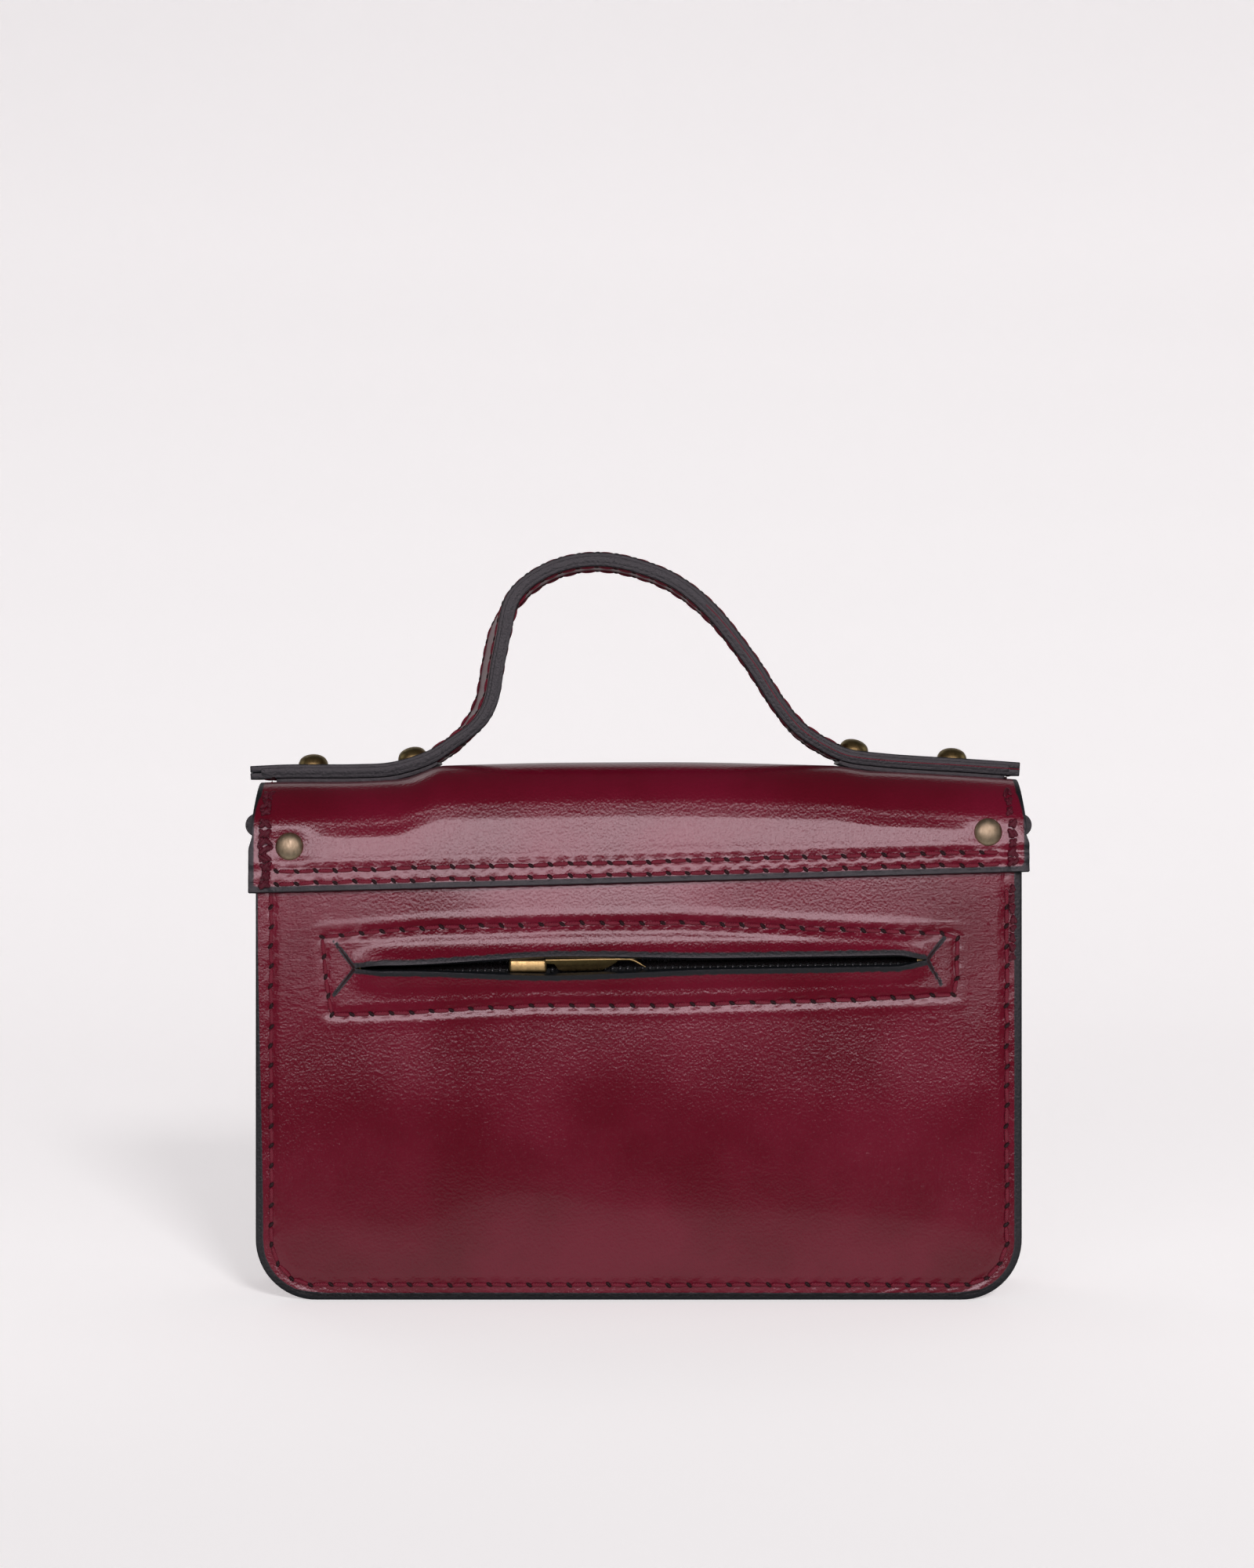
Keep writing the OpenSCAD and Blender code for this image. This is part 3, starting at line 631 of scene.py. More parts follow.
def makeBackWall():
    z0, reach = wall["slitZ"], wall["reach"]
    rows = spread([(wall["low"], z0 - reach - 4 * mm, 1.5 * mm),
                   (z0 - reach - 4 * mm, z0 - 4 * mm, 0.8 * mm),
                   (z0 - 4 * mm, z0 - 0.35 * mm, 0.45 * mm), (z0, z0, 1.0)])
    lowRows = rows[:-1] + [z0]
    highRows = [2 * z0 - z for z in reversed(lowRows) if 2 * z0 - z < wall["high"] - 2 * mm]
    rows = lowRows + highRows + [wall["high"]]
    cut = len(lowRows) - 1
    ends = spread([(-wall["half"], -82 * mm, 1.1 * mm), (-82 * mm, -76 * mm, 0.5 * mm),
                   (-76 * mm, 76 * mm, 1.35 * mm), (76 * mm, 82 * mm, 0.5 * mm),
                   (82 * mm, wall["half"], 1.1 * mm)])
    last = len(rows) - 1

    def place(u, v):
        row = round(v * last)
        x = -pick(ends, u)
        z = rows[row]
        side = 1 if row > cut else -1
        fade = smoothStep(reach + 2 * mm, 0, abs(z - z0))
        z += (slitLine(x) - z0 + side * slitGap(x) / 2) * fade
        x *= roundedWidth(z, wall["low"], wall["half"], wall["corner"]) / wall["half"]
        x += edgeShift(x, z)
        return Vector((x, wallSurface(x, z), z))

    obj = layGrid("back_wall", len(ends) - 1, last, place)
    makeActive(obj)
    bpy.ops.object.mode_set(mode="EDIT")
    bm = bmesh.from_edit_mesh(obj.data)
    for face in bm.faces:                   # the open strip between the two lips
        c = face.calc_center_median()
        inSlit = wall["slitLow"] < c.x < wall["slitHigh"]
        face.select = inSlit and abs(c.z - slitLine(c.x)) < 0.12 * slitGap(c.x)
    bmesh.update_edit_mesh(obj.data)
    bpy.ops.mesh.delete(type="FACE")
    bpy.ops.mesh.select_all(action="SELECT")
    bpy.ops.mesh.remove_doubles(threshold=0.02 * mm)
    bpy.ops.object.mode_set(mode="OBJECT")
    applyAs(obj, "SOLIDIFY", thickness=hide, offset=-1)
    applyAs(obj, "BEVEL", width=0.55 * mm, segments=3, limit_method="ANGLE",
            angle_limit=math.radians(55), use_clamp_overlap=True)

    tips = [(79.2, 93.2, 85, 100.6), (79.2, 93.2, 85.2, 85.8),
            (-80.4, 95.6, -85.4, 101.8), (-80.4, 95.6, -84.8, 88.4)]

    def fromEdge(co):
        d = outlineDistance(co.x - edgeShift(co.x, co.z), co.z, wall["low"], wall["high"],
                            wall["half"], wall["corner"])
        if abs(co.x) < 88 * mm and abs(co.z - slitLine(co.x)) < 10 * mm:
            toEnd = min(co.x - wall["slitLow"], wall["slitHigh"] - co.x)
            if toEnd > 0:
                d = min(d, abs(abs(co.z - slitLine(co.x)) - slitGap(co.x) / 2) * 0.3)
            p = Vector((co.x, co.z)) / mm
            for ax, az, bx, bz in tips:
                d = min(d, segmentDistance(p, Vector((ax, az)), Vector((bx, bz))) * 0.7 * mm)
        return d

    paintEdges(obj, fromEdge)
    smoothByAngle(obj, 50)
    dress(obj, "bag", "leather", leather, "back_panel")
    return obj


makeBackWall()
print("back wall made")


def onWall(p):
    return Vector((p.x, wallSurface(p.x, p.z), p.z))


def faceBack(p):
    return Vector((0, 1, 0))


def runAlong(points):
    # a run over straight stretches, as a function of the distance
    pts = [Vector((x * mm, 0, z * mm)) for x, z in points]
    lengths = [(b - a).length for a, b in zip(pts, pts[1:])]

    def run(s):
        for a, b, length in zip(pts, pts[1:], lengths):
            if s <= length or b is pts[-1]:
                return a.lerp(b, s / length)
            s -= length

    return run, sum(lengths)


run, length = runAlong(pocketSeam + pocketSeam[:1])
sew("pocket_seam", "bag", "leather", run, length, onWall, faceBack)
seamIn = wall["sewIn"] - rimSeam
at, length = alongRounded(wall["half"] - seamIn, wall["low"] + seamIn, 116 * mm,
                          wall["corner"] - seamIn)


def rimRun(s):
    x, z = at(s)
    return Vector((x, 0, z))


sew("wall_seam", "bag", "leather", rimRun, length, onWall, faceBack)


def makeSlitCuts():
    # the four short cuts that run from the slit's ends to the corners of the sewn frame, each a thin
    # dark sliver laid on the wall: the cut's dark edge paint and painted shade in the open gap
    for k, (ax, az, bx, bz) in enumerate([(79.4, 93.3, 84.6, 100.2), (79.4, 93.1, 84.8, 86.2),
                                          (-80.6, 95.7, -85, 101.4), (-80.6, 95.5, -84.4, 88.8)]):
        a, b = Vector((ax, 0, az)) * mm, Vector((bx, 0, bz)) * mm
        side = (b - a).cross(Vector((0, 1, 0))).normalized()

        def place(u, v, a=a, b=b, side=side):
            p = a.lerp(b, u)
            wide = 0.34 * mm * (1 - 0.75 * u)
            angle = v * math.tau
            p = p + side * math.cos(angle) * wide
            return Vector((p.x, wallSurface(p.x, p.z) + math.sin(angle) * 0.07 * mm, p.z))

        obj = layGrid(f"slit_cut_shade_{k + 1}", 16, 8, place)
        mergeDoubles(obj, outward=True)
        makeActive(obj)
        bpy.ops.object.mode_set(mode="EDIT")
        bpy.ops.mesh.select_all(action="SELECT")
        bpy.ops.mesh.fill_holes(sides=0)
        bpy.ops.object.mode_set(mode="OBJECT")
        dress(obj, "bag", "leather", pitShadeMat)


makeSlitCuts()


# ---- front wall, pocket and gussets ----

def plainSheet(name, box, corner, yOut, facing, belly, columns, rows, mat, slotName, *nodes):
    low, high = box
    half = high[0]
    zs = spread([(low[2], low[2] + corner, corner / 9),
                 (low[2] + corner, high[2], (high[2] - low[2]) / rows)])

    def bulge(x, z):
        share = (z - low[2]) / (high[2] - low[2])
        return belly * math.cos(min(1.0, abs(x) / half) * math.pi / 2) * math.sin(math.pi * share)

    def place(u, v):
        z = pick(zs, v)
        x = facing * (1 - 2 * u) * roundedWidth(z, low[2], half, corner)
        ripple = noise.noise(Vector((x * 30, 4.7, z * 40))) * 0.25 * mm
        return Vector((x, yOut + facing * (bulge(x, z) + ripple), z))

    obj = layGrid(name, columns, len(zs) - 1, place)
    applyAs(obj, "SOLIDIFY", thickness=hide * 0.98, offset=-1)
    applyAs(obj, "BEVEL", width=0.5 * mm, segments=3, limit_method="ANGLE",
            angle_limit=math.radians(55), use_clamp_overlap=True)
    paintEdges(obj, lambda co: outlineDistance(co.x, co.z, low[2], high[2], half, corner))
    smoothByAngle(obj, 50)
    dress(obj, "bag", slotName, mat, *nodes)

    def surface(p):
        ripple = noise.noise(Vector((p.x * 30, 4.7, p.z * 40))) * 0.25 * mm
        return Vector((p.x, yOut + facing * (bulge(p.x, p.z) + ripple), p.z))

    return surface


def faceFront(p):
    return Vector((0, -1, 0))


onFront = plainSheet("front_wall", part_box("front_panel"), 15 * mm, frontY, -1, 0.0, 90, 60,
                     leather, "leather", "front_panel")
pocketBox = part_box("pocket_front")
pocketY = pocketBox[0][1] + 0.35 * mm      # a little in, so the snaps stand proud
onPocket = plainSheet("pocket_face", pocketBox, 15 * mm, pocketY, -1, 0.15 * mm, 80, 40, leather,
                      "leather", "pocket_front")


def seamOnSheet(name, box, corner, inset, surface, facing, top):
    low, high = box
    at, length = alongRounded(high[0] - inset, low[2] + inset, top, corner - inset)
    sew(name, "bag", "leather", lambda s: Vector((at(s)[0], 0, at(s)[1])), length,
        surface, facing)


seamOnSheet("front_seam", (frontLow, frontHigh), 15 * mm, 3 * mm, onFront, faceFront, 0.125)
seamOnSheet("pocket_face_seam", pocketBox, 15 * mm, 3.2 * mm, onPocket, faceFront,
            pocketBox[1][2] - 2 * mm)


def channelStrip(name, half, low, high, corner, section, thickness, columns, mat, slotName, *nodes):
    # a strip with the given section of (inset, y), run down, along the bottom and up
    at0, total = alongRounded(half, low, high, corner)

    def place(u, v):
        inset = pick([d for d, y in section], v)
        y = pick([y for d, y in section], v)
        x, z = at0(u * total)
        cx = max(-half + corner, min(half - corner, x))
        cz = max(low + corner, z)
        out = Vector((x - cx, z - cz))
        out = out.normalized() if out.length > 1e-9 else Vector((0, -1))
        if z > low + corner:
            out = Vector((1 if x > 0 else -1, 0))
        return Vector((x - out.x * inset, y, z - out.y * inset))

    obj = layGrid(name, columns, len(section) - 1, place)
    applyAs(obj, "SOLIDIFY", thickness=thickness, offset=0)
    applyAs(obj, "BEVEL", width=0.4 * mm, segments=2, limit_method="ANGLE",
            angle_limit=math.radians(55), use_clamp_overlap=True)
    paintEdges(obj, lambda co: min(outlineDistance(co.x, co.z, low, high, half, corner),
                                   max(0.0, high - co.z)))
    smoothByAngle(obj, 50)
    dress(obj, "bag", slotName, mat, *nodes)
    return obj


def foldedSection(yBack, yFront, web, bend, reach):
    # turned-out edge, fold, web, fold, turned-out edge
    section = [(d, yBack) for d in spread([(0, reach, 1.4 * mm)])]
    for k in range(1, 6):
        a = math.pi / 2 * k / 6
        section.append((reach + bend * math.sin(a), yBack - bend * (1 - math.cos(a))))
    section += [(web, y) for y in spread([(yBack - bend, yFront + bend, 3 * mm)])]
    for k in range(5, 0, -1):
        a = math.pi / 2 * k / 6
        section.append((reach + bend * math.sin(a), yFront + bend * (1 - math.cos(a))))
    return section + [(d, yFront) for d in spread([(reach, 0, 1.4 * mm)])]


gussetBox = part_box("gusset")
gussetHalf = gussetBox[1][0]
bend = 2.4 * mm
channelStrip("gusset_strip", gussetHalf, 0.0, gussetBox[1][2], 17 * mm,
             foldedSection(backY - 1.5 * hide, frontY + 1.5 * hide, 8 * mm, bend, 8 * mm - bend),
             hide, 260, innerLeather, "leather_lining", "gusset")
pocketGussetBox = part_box("pocket_gusset")
pocketHalf = pocketGussetBox[1][0]
channelStrip("pocket_strip", pocketHalf - 1 * mm, pocketGussetBox[0][2] + 1 * mm,
             pocketGussetBox[1][2], 14 * mm,
             [(0, y) for y in spread([(pocketGussetBox[1][1], pocketGussetBox[0][1], 1.8 * mm)])],
             hide * 0.96, 200, innerLeather, "leather_lining", "pocket_gusset")
print("front, pocket and gussets made")


# ---- flap ----

flap = {"half": flapHigh[0], "halfTop": 107.3 * mm, "bend": 15 * mm, "hinge": 136 * mm,
        "hem": 117.4 * mm, "slant": 6 * mm, "front": flapLow[2], "corner": 24 * mm}


def hemAt(x):
    return flap["hem"] - flap["slant"] * x / (2 * flap["half"])


def flapPath():
    # outer face across the top, from the hem on the back to the front edge: (y, z, part)
    r = flap["bend"]
    zs = spread([(flap["hem"], topZ - r, 1.2 * mm)])
    path = [(flapBackY, z, "back") for z in zs]
    for k in range(1, 15):
        a = math.pi / 2 * k / 15
        path.append((flapBackY - r + r * math.cos(a), topZ - r + r * math.sin(a), "top"))
    ys = spread([(flapBackY - r, flapFrontY + r, 2 * mm)])
    path += [(y, topZ, "top") for y in ys]
    for k in range(1, 15):
        a = math.pi / 2 * k / 15
        path.append((flapFrontY + r - r * math.sin(a), topZ - r + r * math.cos(a), "top"))
    drop = topZ - r - flap["front"]
    down = spread([(0, drop - flap["corner"], 2 * mm), (drop - flap["corner"], drop, 1.4 * mm)])
    return path + [(flapFrontY, topZ - r - d, "front") for d in down]


path = flapPath()


def rivetDent(x, z):
    # the leather is pressed in round the two back rivets
    depth = 0.0
    for low, high in rivetBoxes:
        cx, cz = (low[0] + high[0]) / 2, (low[2] + high[2]) / 2
        depth += 0.75 * mm * math.exp(-((x - cx) ** 2 + (z - cz) ** 2) / (6.2 * mm) ** 2)
    return depth


def splitBoxes(node, size):
    # boxes of a node's two solids; the one at +X sits a little lower
    low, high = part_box(node)
    left = ((low[0], low[1], high[2] - size), (low[0] + size, high[1], high[2]))
    right = ((high[0] - size, low[1], low[2]), (high[0], high[1], low[2] + size))
    return [left, right]


rivetBoxes = splitBoxes("back_rivets", 8 * mm)


def flapRelief(x, z):
    # stands out from the flat back of the flap: seams pulled in, soft waves between
    seam = 0.0
    for inset in (2.2 * mm, 5.6 * mm):
        d = abs(z - hemAt(x) - inset)
        seam += seamRelief(d, x + inset, 5.4 * mm)
    side = abs(abs(x) - 104.2 * mm)
    seam += 0.35 * mm * math.exp(-(side / (1.2 * mm)) ** 2) * smoothStep(136 * mm, 130 * mm, z)
    wave = noise.noise(Vector((x * 28, 1.3, z * 30))) * 0.16 * mm
    wave += noise.noise(Vector((x * 9, 6.1, z * 24))) * 0.3 * mm
    wave *= smoothStep(topZ - flap["bend"], topZ - flap["bend"] - 7 * mm, z)
    lift = 0.9 * mm * smoothStep(21 * mm, 0, z - hemAt(x))
    return wallBelly(x, z) + wave + lift - seam - rivetDent(x, z)


def makeFlap():
    last = len(path) - 1
    columns = 190

    def place(u, v):
        k = round(v * last)
        y, z, part = path[k]
        x = 1 - 2 * u
        half = flap["half"]
        if part == "back":
            share = (z - flap["hem"]) / (topZ - flap["bend"] - flap["hem"])
            x *= half - (half - flap["halfTop"]) * smoothStep(0.75, 1.2, share)
            low = hemAt(x)
            z = low + (z - flap["hem"]) * (topZ - flap["bend"] - low) / (
                topZ - flap["bend"] - flap["hem"])
            z -= flapDrop(x) * smoothStep(120 * mm, 136 * mm, z)
            return Vector((x, y + flapRelief(x, z), z))
        if part == "top":
            tall = smoothStep(0, 1, (z - topZ + flap["bend"]) / flap["bend"])
            x *= half - (half - flap["halfTop"]) * (0.4 + 0.6 * tall)
            sink = noise.noise(Vector((x * 25, y * 30, 2.2))) * 0.25 * mm
            return Vector((x, y, z - flapDrop(x) + min(0.0, sink)))
        d = z - flap["front"]
        wide = roundedWidth(flap["front"] + d, flap["front"], half, flap["corner"])
        x *= wide - (half - flap["halfTop"]) * 0.4 * smoothStep(0.11, 0.14, z)
        z -= flapDrop(x) * smoothStep(90 * mm, 136 * mm, z)
        ripple = noise.noise(Vector((x * 22, 9.1, z * 25))) * 0.3 * mm
        return Vector((x, y - abs(ripple), z))

    obj = layGrid("flap_leather", columns, last, place)
    applyAs(obj, "SOLIDIFY", thickness=hide * 0.97, offset=-1)
    applyAs(obj, "BEVEL", width=0.5 * mm, segments=3, limit_method="ANGLE",
            angle_limit=math.radians(55), use_clamp_overlap=True)

    def fromEdge(co):
        if co.y > flapBackY - 4 * mm:
            narrowed = (flap["half"] - flap["halfTop"]) * smoothStep(134 * mm, 146 * mm, co.z)
            return max(0.0, min(co.z - hemAt(co.x), flap["half"] - abs(co.x) - narrowed))
        if co.y < flapFrontY + 4 * mm and co.z < 0.12:
            return outlineDistance(co.x, co.z, flap["front"], 1.0, flap["half"], flap["corner"])
        return max(0.0, flap["half"] - 0.6 * (flap["half"] - flap["halfTop"]) - 0.5 * mm - abs(co.x))

    paintEdges(obj, fromEdge)
    smoothByAngle(obj, 50)
    dress(obj, None, "leather", flapHide, "flap_back_strip", "flap")
    return obj


def flapGrow(obj):
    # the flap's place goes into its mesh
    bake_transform(obj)


flapLeather = makeFlap()
flapGrow(flapLeather)


def onFlapBack(p):
    return Vector((p.x, flapBackY + flapRelief(p.x, p.z), p.z))


for row, inset in (("lower", 2.2 * mm), ("upper", 5.6 * mm)):
    sew(f"hem_seam_{row}", "bag", "leather",
        lambda s, inset=inset: Vector((101 * mm - s, 0, hemAt(101 * mm - s) + inset)), 202 * mm,
        onFlapBack, faceBack, pitch=5.4 * mm)


def onFlapUpper(p):
    r = flap["bend"]
    z = p.z + flapDrop(p.x)
    rise = max(0.0, z - (topZ - r))
    y = flapBackY - r + math.sqrt(max(0.0, r * r - rise * rise))
    return Vector((p.x, y + (flapRelief(p.x, p.z) if rise == 0 else 0), p.z))


knotStitch = {"pitch": 2.6 * mm, "raised": 0.3, "layer": 0.15}


def crossSewing(name, body, x, top, low, surface, passes, reach):
    # the thread is run back over itself many times where the gusset's end is caught in
    for k in range(passes):
        def run(s, k=k):
            step = round(s / knotStitch["pitch"])
            shift = reach * (1 if (step + k) % 2 else -1) * random.uniform(0.3, 1.0)
            return Vector((x + shift, 0, top - s))

        sew(f"{name}_{k + 1}", body, "leather", run, top - low, surface, faceBack, wobble=0.5,
            pitch=knotStitch["pitch"], holes=False,
            sunk=knotStitch["raised"] + knotStitch["layer"] * k, mat=knotThread)


knots = [    # name, body, place across, top and low (mm), surface, passes, reach (mm)
    ("corner_sewing_left", "bag", -104.4, 135, 122, onFlapBack, 3, 1.5),
    ("corner_sewing_right", "bag", 104.3, 135, 115.4, onFlapBack, 4, 2.3),
    ("upper_sewing_right", "lifting_flap", 104.0, 142.5, 136, onFlapUpper, 3, 2.1),
    ("upper_sewing_left", "lifting_flap", -103.6, 143.5, 136, onFlapUpper, 2, 1.3),
    ("side_sewing_left", "bag", -104.6, 116.5, 95, onWall, 2, 0.9)]
for name, body, x, top, low, surface, passes, reach in knots:
    crossSewing(name, body, x * mm, top * mm, low * mm, surface, passes, reach * mm)


def sideRun(side):
    def run(s):
        return Vector((side * 104.0 * mm, 0, 146 * mm - s))
    return run


def faceUpper(p):
    rise = max(0.0, p.z + flapDrop(p.x) - (topZ - flap["bend"])) / flap["bend"]
    return Vector((0, math.sqrt(max(0.0, 1 - rise * rise)) + 1e-4, rise)).normalized()


for side, name in ((1, "right"), (-1, "left")):
    sew(f"flap_side_seam_{name}", "lifting_flap", "leather", sideRun(side), 8 * mm, onFlapUpper,
        faceUpper)


def frontFlapRun():
    at, length = alongRounded(flap["half"] - 3.4 * mm, flap["front"] + 3.4 * mm, 123 * mm,
                              flap["corner"] - 3.4 * mm)
    return (lambda s: Vector((at(s)[0], 0, at(s)[1]))), length


def onFlapFront(p):
    ripple = noise.noise(Vector((p.x * 22, 9.1, p.z * 25))) * 0.3 * mm
    return Vector((p.x * (1 - 0.004 * smoothStep(0.11, 0.14, p.z)), flapFrontY - abs(ripple), p.z))


run, length = frontFlapRun()
sew("flap_front_seam", "lifting_flap", "leather", run, length, onFlapFront, faceFront)
print("flap made")


# ---- ribbons: handle ----

def smoothCurve(points, steps):
    out = []
    for i in range(len(points) - 1):
        a, b = points[max(i - 1, 0)], points[i]
        c, d = points[i + 1], points[min(i + 2, len(points) - 1)]
        for k in range(steps):
            t = k / steps
            out.append(0.5 * (2 * b + t * (c - a) + t * t * (2 * a - 5 * b + 4 * c - d)
                              + t * t * t * (3 * b - 3 * c + d - a)))
    return out + [points[-1]]


def besideCurve(points, side, distance):
    # the same line moved sideways in its own plane, whose normal is side
    out = []
    for i, p in enumerate(points):
        a, b = points[max(i - 1, 0)], points[min(i + 1, len(points) - 1)]
        out.append(p + (b - a).cross(side).normalized() * distance)
    return out


def ribbon(name, points, side, width, thickness, columns=9, bevel=0.28 * mm):
    # a strip of leather whose outer face follows the points; side is across its width
    last = len(points) - 1
    side = side.normalized()

    def place(u, v):
        i = round(v * last)
        p = points[i]
        return p + side * (2 * u - 1) * width / 2

    obj = layGrid(name, columns, last, place)
    applyAs(obj, "SOLIDIFY", thickness=thickness, offset=-1)
    applyAs(obj, "BEVEL", width=bevel, segments=3, limit_method="ANGLE",
            angle_limit=math.radians(50), use_clamp_overlap=True)
    smoothByAngle(obj, 50)
    return obj


handle = {"width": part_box("handle_top_layer")[1][1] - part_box("handle_top_layer")[0][1],
          "low": -109 * mm, "high": 111 * mm, "foot": 60 * mm}
handleMidY = (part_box("handle_top_layer")[1][1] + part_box("handle_top_layer")[0][1]) / 2
archPoints = [(-53, 2.9), (-46, 8.6), (-39.5, 16.7), (-32.5, 27.4), (-22, 40.5), (-11, 49.4),
              (0, 54), (10.5, 56), (20.5, 55.1), (29, 51.7), (35.5, 46.2), (39.5, 38.5),
              (42, 27.6), (44, 16.5), (48, 8.8), (53.5, 3.4)]


def footRise(x):
    # the strap starts to lift before its last rivet
    return foot["rise"] * smoothStep(74 * mm, 60 * mm, abs(x)) * smoothStep(44 * mm, 54 * mm, abs(x))


def handleLine():
    # middle of the doubled leather, from one end over the arch to the other
    low, high, start = handle["low"], handle["high"], handle["foot"]
    knots = [(low + (-start - low) * k / 5, 0) for k in range(6)]
    knots += [(x * mm, z * mm) for x, z in archPoints]
    knots += [(start + (high - start) * k / 5, 0) for k in range(6)]
    knots = [(x, z + footRise(x)) for x, z in knots]
    line = [Vector((x, handleMidY, topZ - strapDrop(x) + hide + z)) for x, z in knots]
    return smoothCurve(line, 8)


handlePoints = handleLine()
acrossY = Vector((0, 1, 0))


def handleEdge(co):
    toEnd = min(handle["high"] - co.x, co.x - handle["low"])
    return max(0.0, min(handle["width"] / 2 - abs(co.y - handleMidY), toEnd))


def twistLeg(obj):
    # the leg at +X is turned a little, so that its outer face shows at the back
    for vert in obj.data.vertices:
        up = vert.co.z - topZ
        share = smoothStep(2 * mm, 14 * mm, up) * smoothStep(50 * mm, 36 * mm, up)
        if vert.co.x > 25 * mm:
            vert.co.x -= 0.19 * (vert.co.y - handleMidY) * share
        elif vert.co.x < -12 * mm:
            vert.co.x += 0.05 * (vert.co.y - handleMidY) * share


outer = besideCurve(handlePoints, acrossY, -hide)
topLayer = ribbon("handle_upper", outer, acrossY, handle["width"], hide * 0.99, 12)
paintEdges(topLayer, handleEdge)
twistLeg(topLayer)
dress(topLayer, "lifting_flap", "leather", handleLeather, "handle_top_layer")
inner = besideCurve(handlePoints, acrossY, 0.01 * hide)
lowLayer = ribbon("handle_under", inner, acrossY, handle["width"] - 0.3 * mm, hide * 0.98, 12)
paintEdges(lowLayer, handleEdge)
twistLeg(lowLayer)
dress(lowLayer, "lifting_flap", "leather_lining", handleLeather, "handle_lining")
band = ribbon("handle_edge_paint", besideCurve(handlePoints[3:-3], acrossY, -0.5 * hide), acrossY,
              handle["width"] + 0.04 * mm, hide, 6, bevel=0.1 * mm)
twistLeg(band)
dress(band, "lifting_flap", "leather", edgePaintAndShadow)
footShadow = {"drop": 1.3 * mm, "from": 57 * mm, "to": 105 * mm, "thick": 1.5 * mm, "in": 2 * mm}
for side in (-1, 1):    # a dark piece under each foot: painted shadow beneath the strap, where there is no real packing
    under = [p - Vector((0, 0, hide + footShadow["drop"])) for p in handlePoints
             if footShadow["from"] < p.x * side < footShadow["to"]]
    shadowPad = ribbon("handle_foot_shadow_right" if side < 0 else "handle_foot_shadow_left", under, acrossY,
                 handle["width"] - footShadow["in"], footShadow["thick"], 6, bevel=0.1 * mm)
    dress(shadowPad, "lifting_flap", "leather", edgePaintAndShadow)
core = [p for p in handlePoints if p.x < -18 * mm]
coreLine = ribbon("handle_core", besideCurve(core, acrossY, -0.06 * hide), acrossY,
                  handle["width"] + 0.14 * mm, 0.12 * hide, 6, bevel=0.03 * mm)
dress(coreLine, "lifting_flap", "leather", threadMat)


def nearestOnHandle(points):
    lengths = [0.0]
    for a, b in zip(points, points[1:]):
        lengths.append(lengths[-1] + (b - a).length)

    def at(s):
        for k in range(len(points) - 1):
            if s <= lengths[k + 1] or k == len(points) - 2:
                step = lengths[k + 1] - lengths[k]
                t = (s - lengths[k]) / step
                p = points[k].lerp(points[k + 1], t)
                return p, (points[k + 1] - points[k]).cross(acrossY).normalized()

    return at, lengths[-1]


def sewRibbon(name, body, points, offset, inset, flip, pitch=5.4 * mm):
    # stitches that follow a ribbon along one side of its width
    at, total = nearestOnHandle(points)
    total -= 2 * inset
    count = round(total / pitch)
    threads, pitShades = [], []
    for k in range(count):
        a, na = at(inset + total * k / count)
        b, nb = at(inset + total * (k + 1) / count)
        up = (na + nb).normalized() * flip
        shift = offset + Vector((0, random.uniform(-0.12, 0.12) * mm, 0))
        place = turned((a + b) / 2 + shift + up * 0.08 * mm, b - a, up)
        threads.append(place @ Matrix.Scale((b - a).length * 1.0, 4))
        # a dark lens at each hole: painted shade
        tilt = Matrix.Rotation(stitch["slant"], 4, "Z")
        pitShades.append(turned(a + shift, b - a, up) @ tilt @ Matrix.Scale(stitch["holeShade"], 4))
    sewn = scatter(name, threadShape, threads)
    pitShadeMarks = scatter(name + "_holes", holeShadeShape, pitShades)
    for obj, mat in ((sewn, threadMat), (pitShadeMarks, pitShadeMat)):
        twistLeg(obj)
        dress(obj, body, "leather", mat)


for sideName, sign in (("back", 1), ("front", -1)):
    across = Vector((0, sign * (handle["width"] / 2 - 2.8 * mm), 0))
    sewRibbon(f"handle_seam_{sideName}", "lifting_flap", outer, across, 3 * mm, -1)
    sewRibbon(f"handle_under_seam_{sideName}", "lifting_flap",
              besideCurve(handlePoints, acrossY, hide), across, 52 * mm, 1)
print("handle made")


# ---- zip: tapes, teeth, slider and puller ----

def toSlit(x, y, z):
    # a place given along the slit, turned with it
    turn = wall["tilt"]
    return Vector((x * math.cos(turn) + z * math.sin(turn), y,
                   wall["slitZ"] - x * math.sin(turn) + z * math.cos(turn)))


tapeLow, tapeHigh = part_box("zip_tape_upper")
coilLow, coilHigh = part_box("zip_coil_upper")
zipParts = {"half": 84 * mm, "tapeWide": 11 * mm, "tooth": 2.1 * mm, "gap": 1.7 * mm}


def makeTape(name, side, node):
    def place(u, v):
        x = zipParts["half"] * (1 - 2 * u)
        z = side * (zipParts["gap"] / 2 + 0.3 * mm + zipParts["tapeWide"] * v)
        sag = noise.noise(Vector((x * 60, side, v))) * 0.15 * mm
        return toSlit(x, (tapeLow[1] + tapeHigh[1]) / 2 + sag * 0.5, z)

    obj = layGrid(name, 120, 8, place)
    applyAs(obj, "SOLIDIFY", thickness=0.6 * mm, offset=0)
    smoothByAngle(obj, 50)
    dress(obj, "bag", "zip_tape", tapeCloth, node)


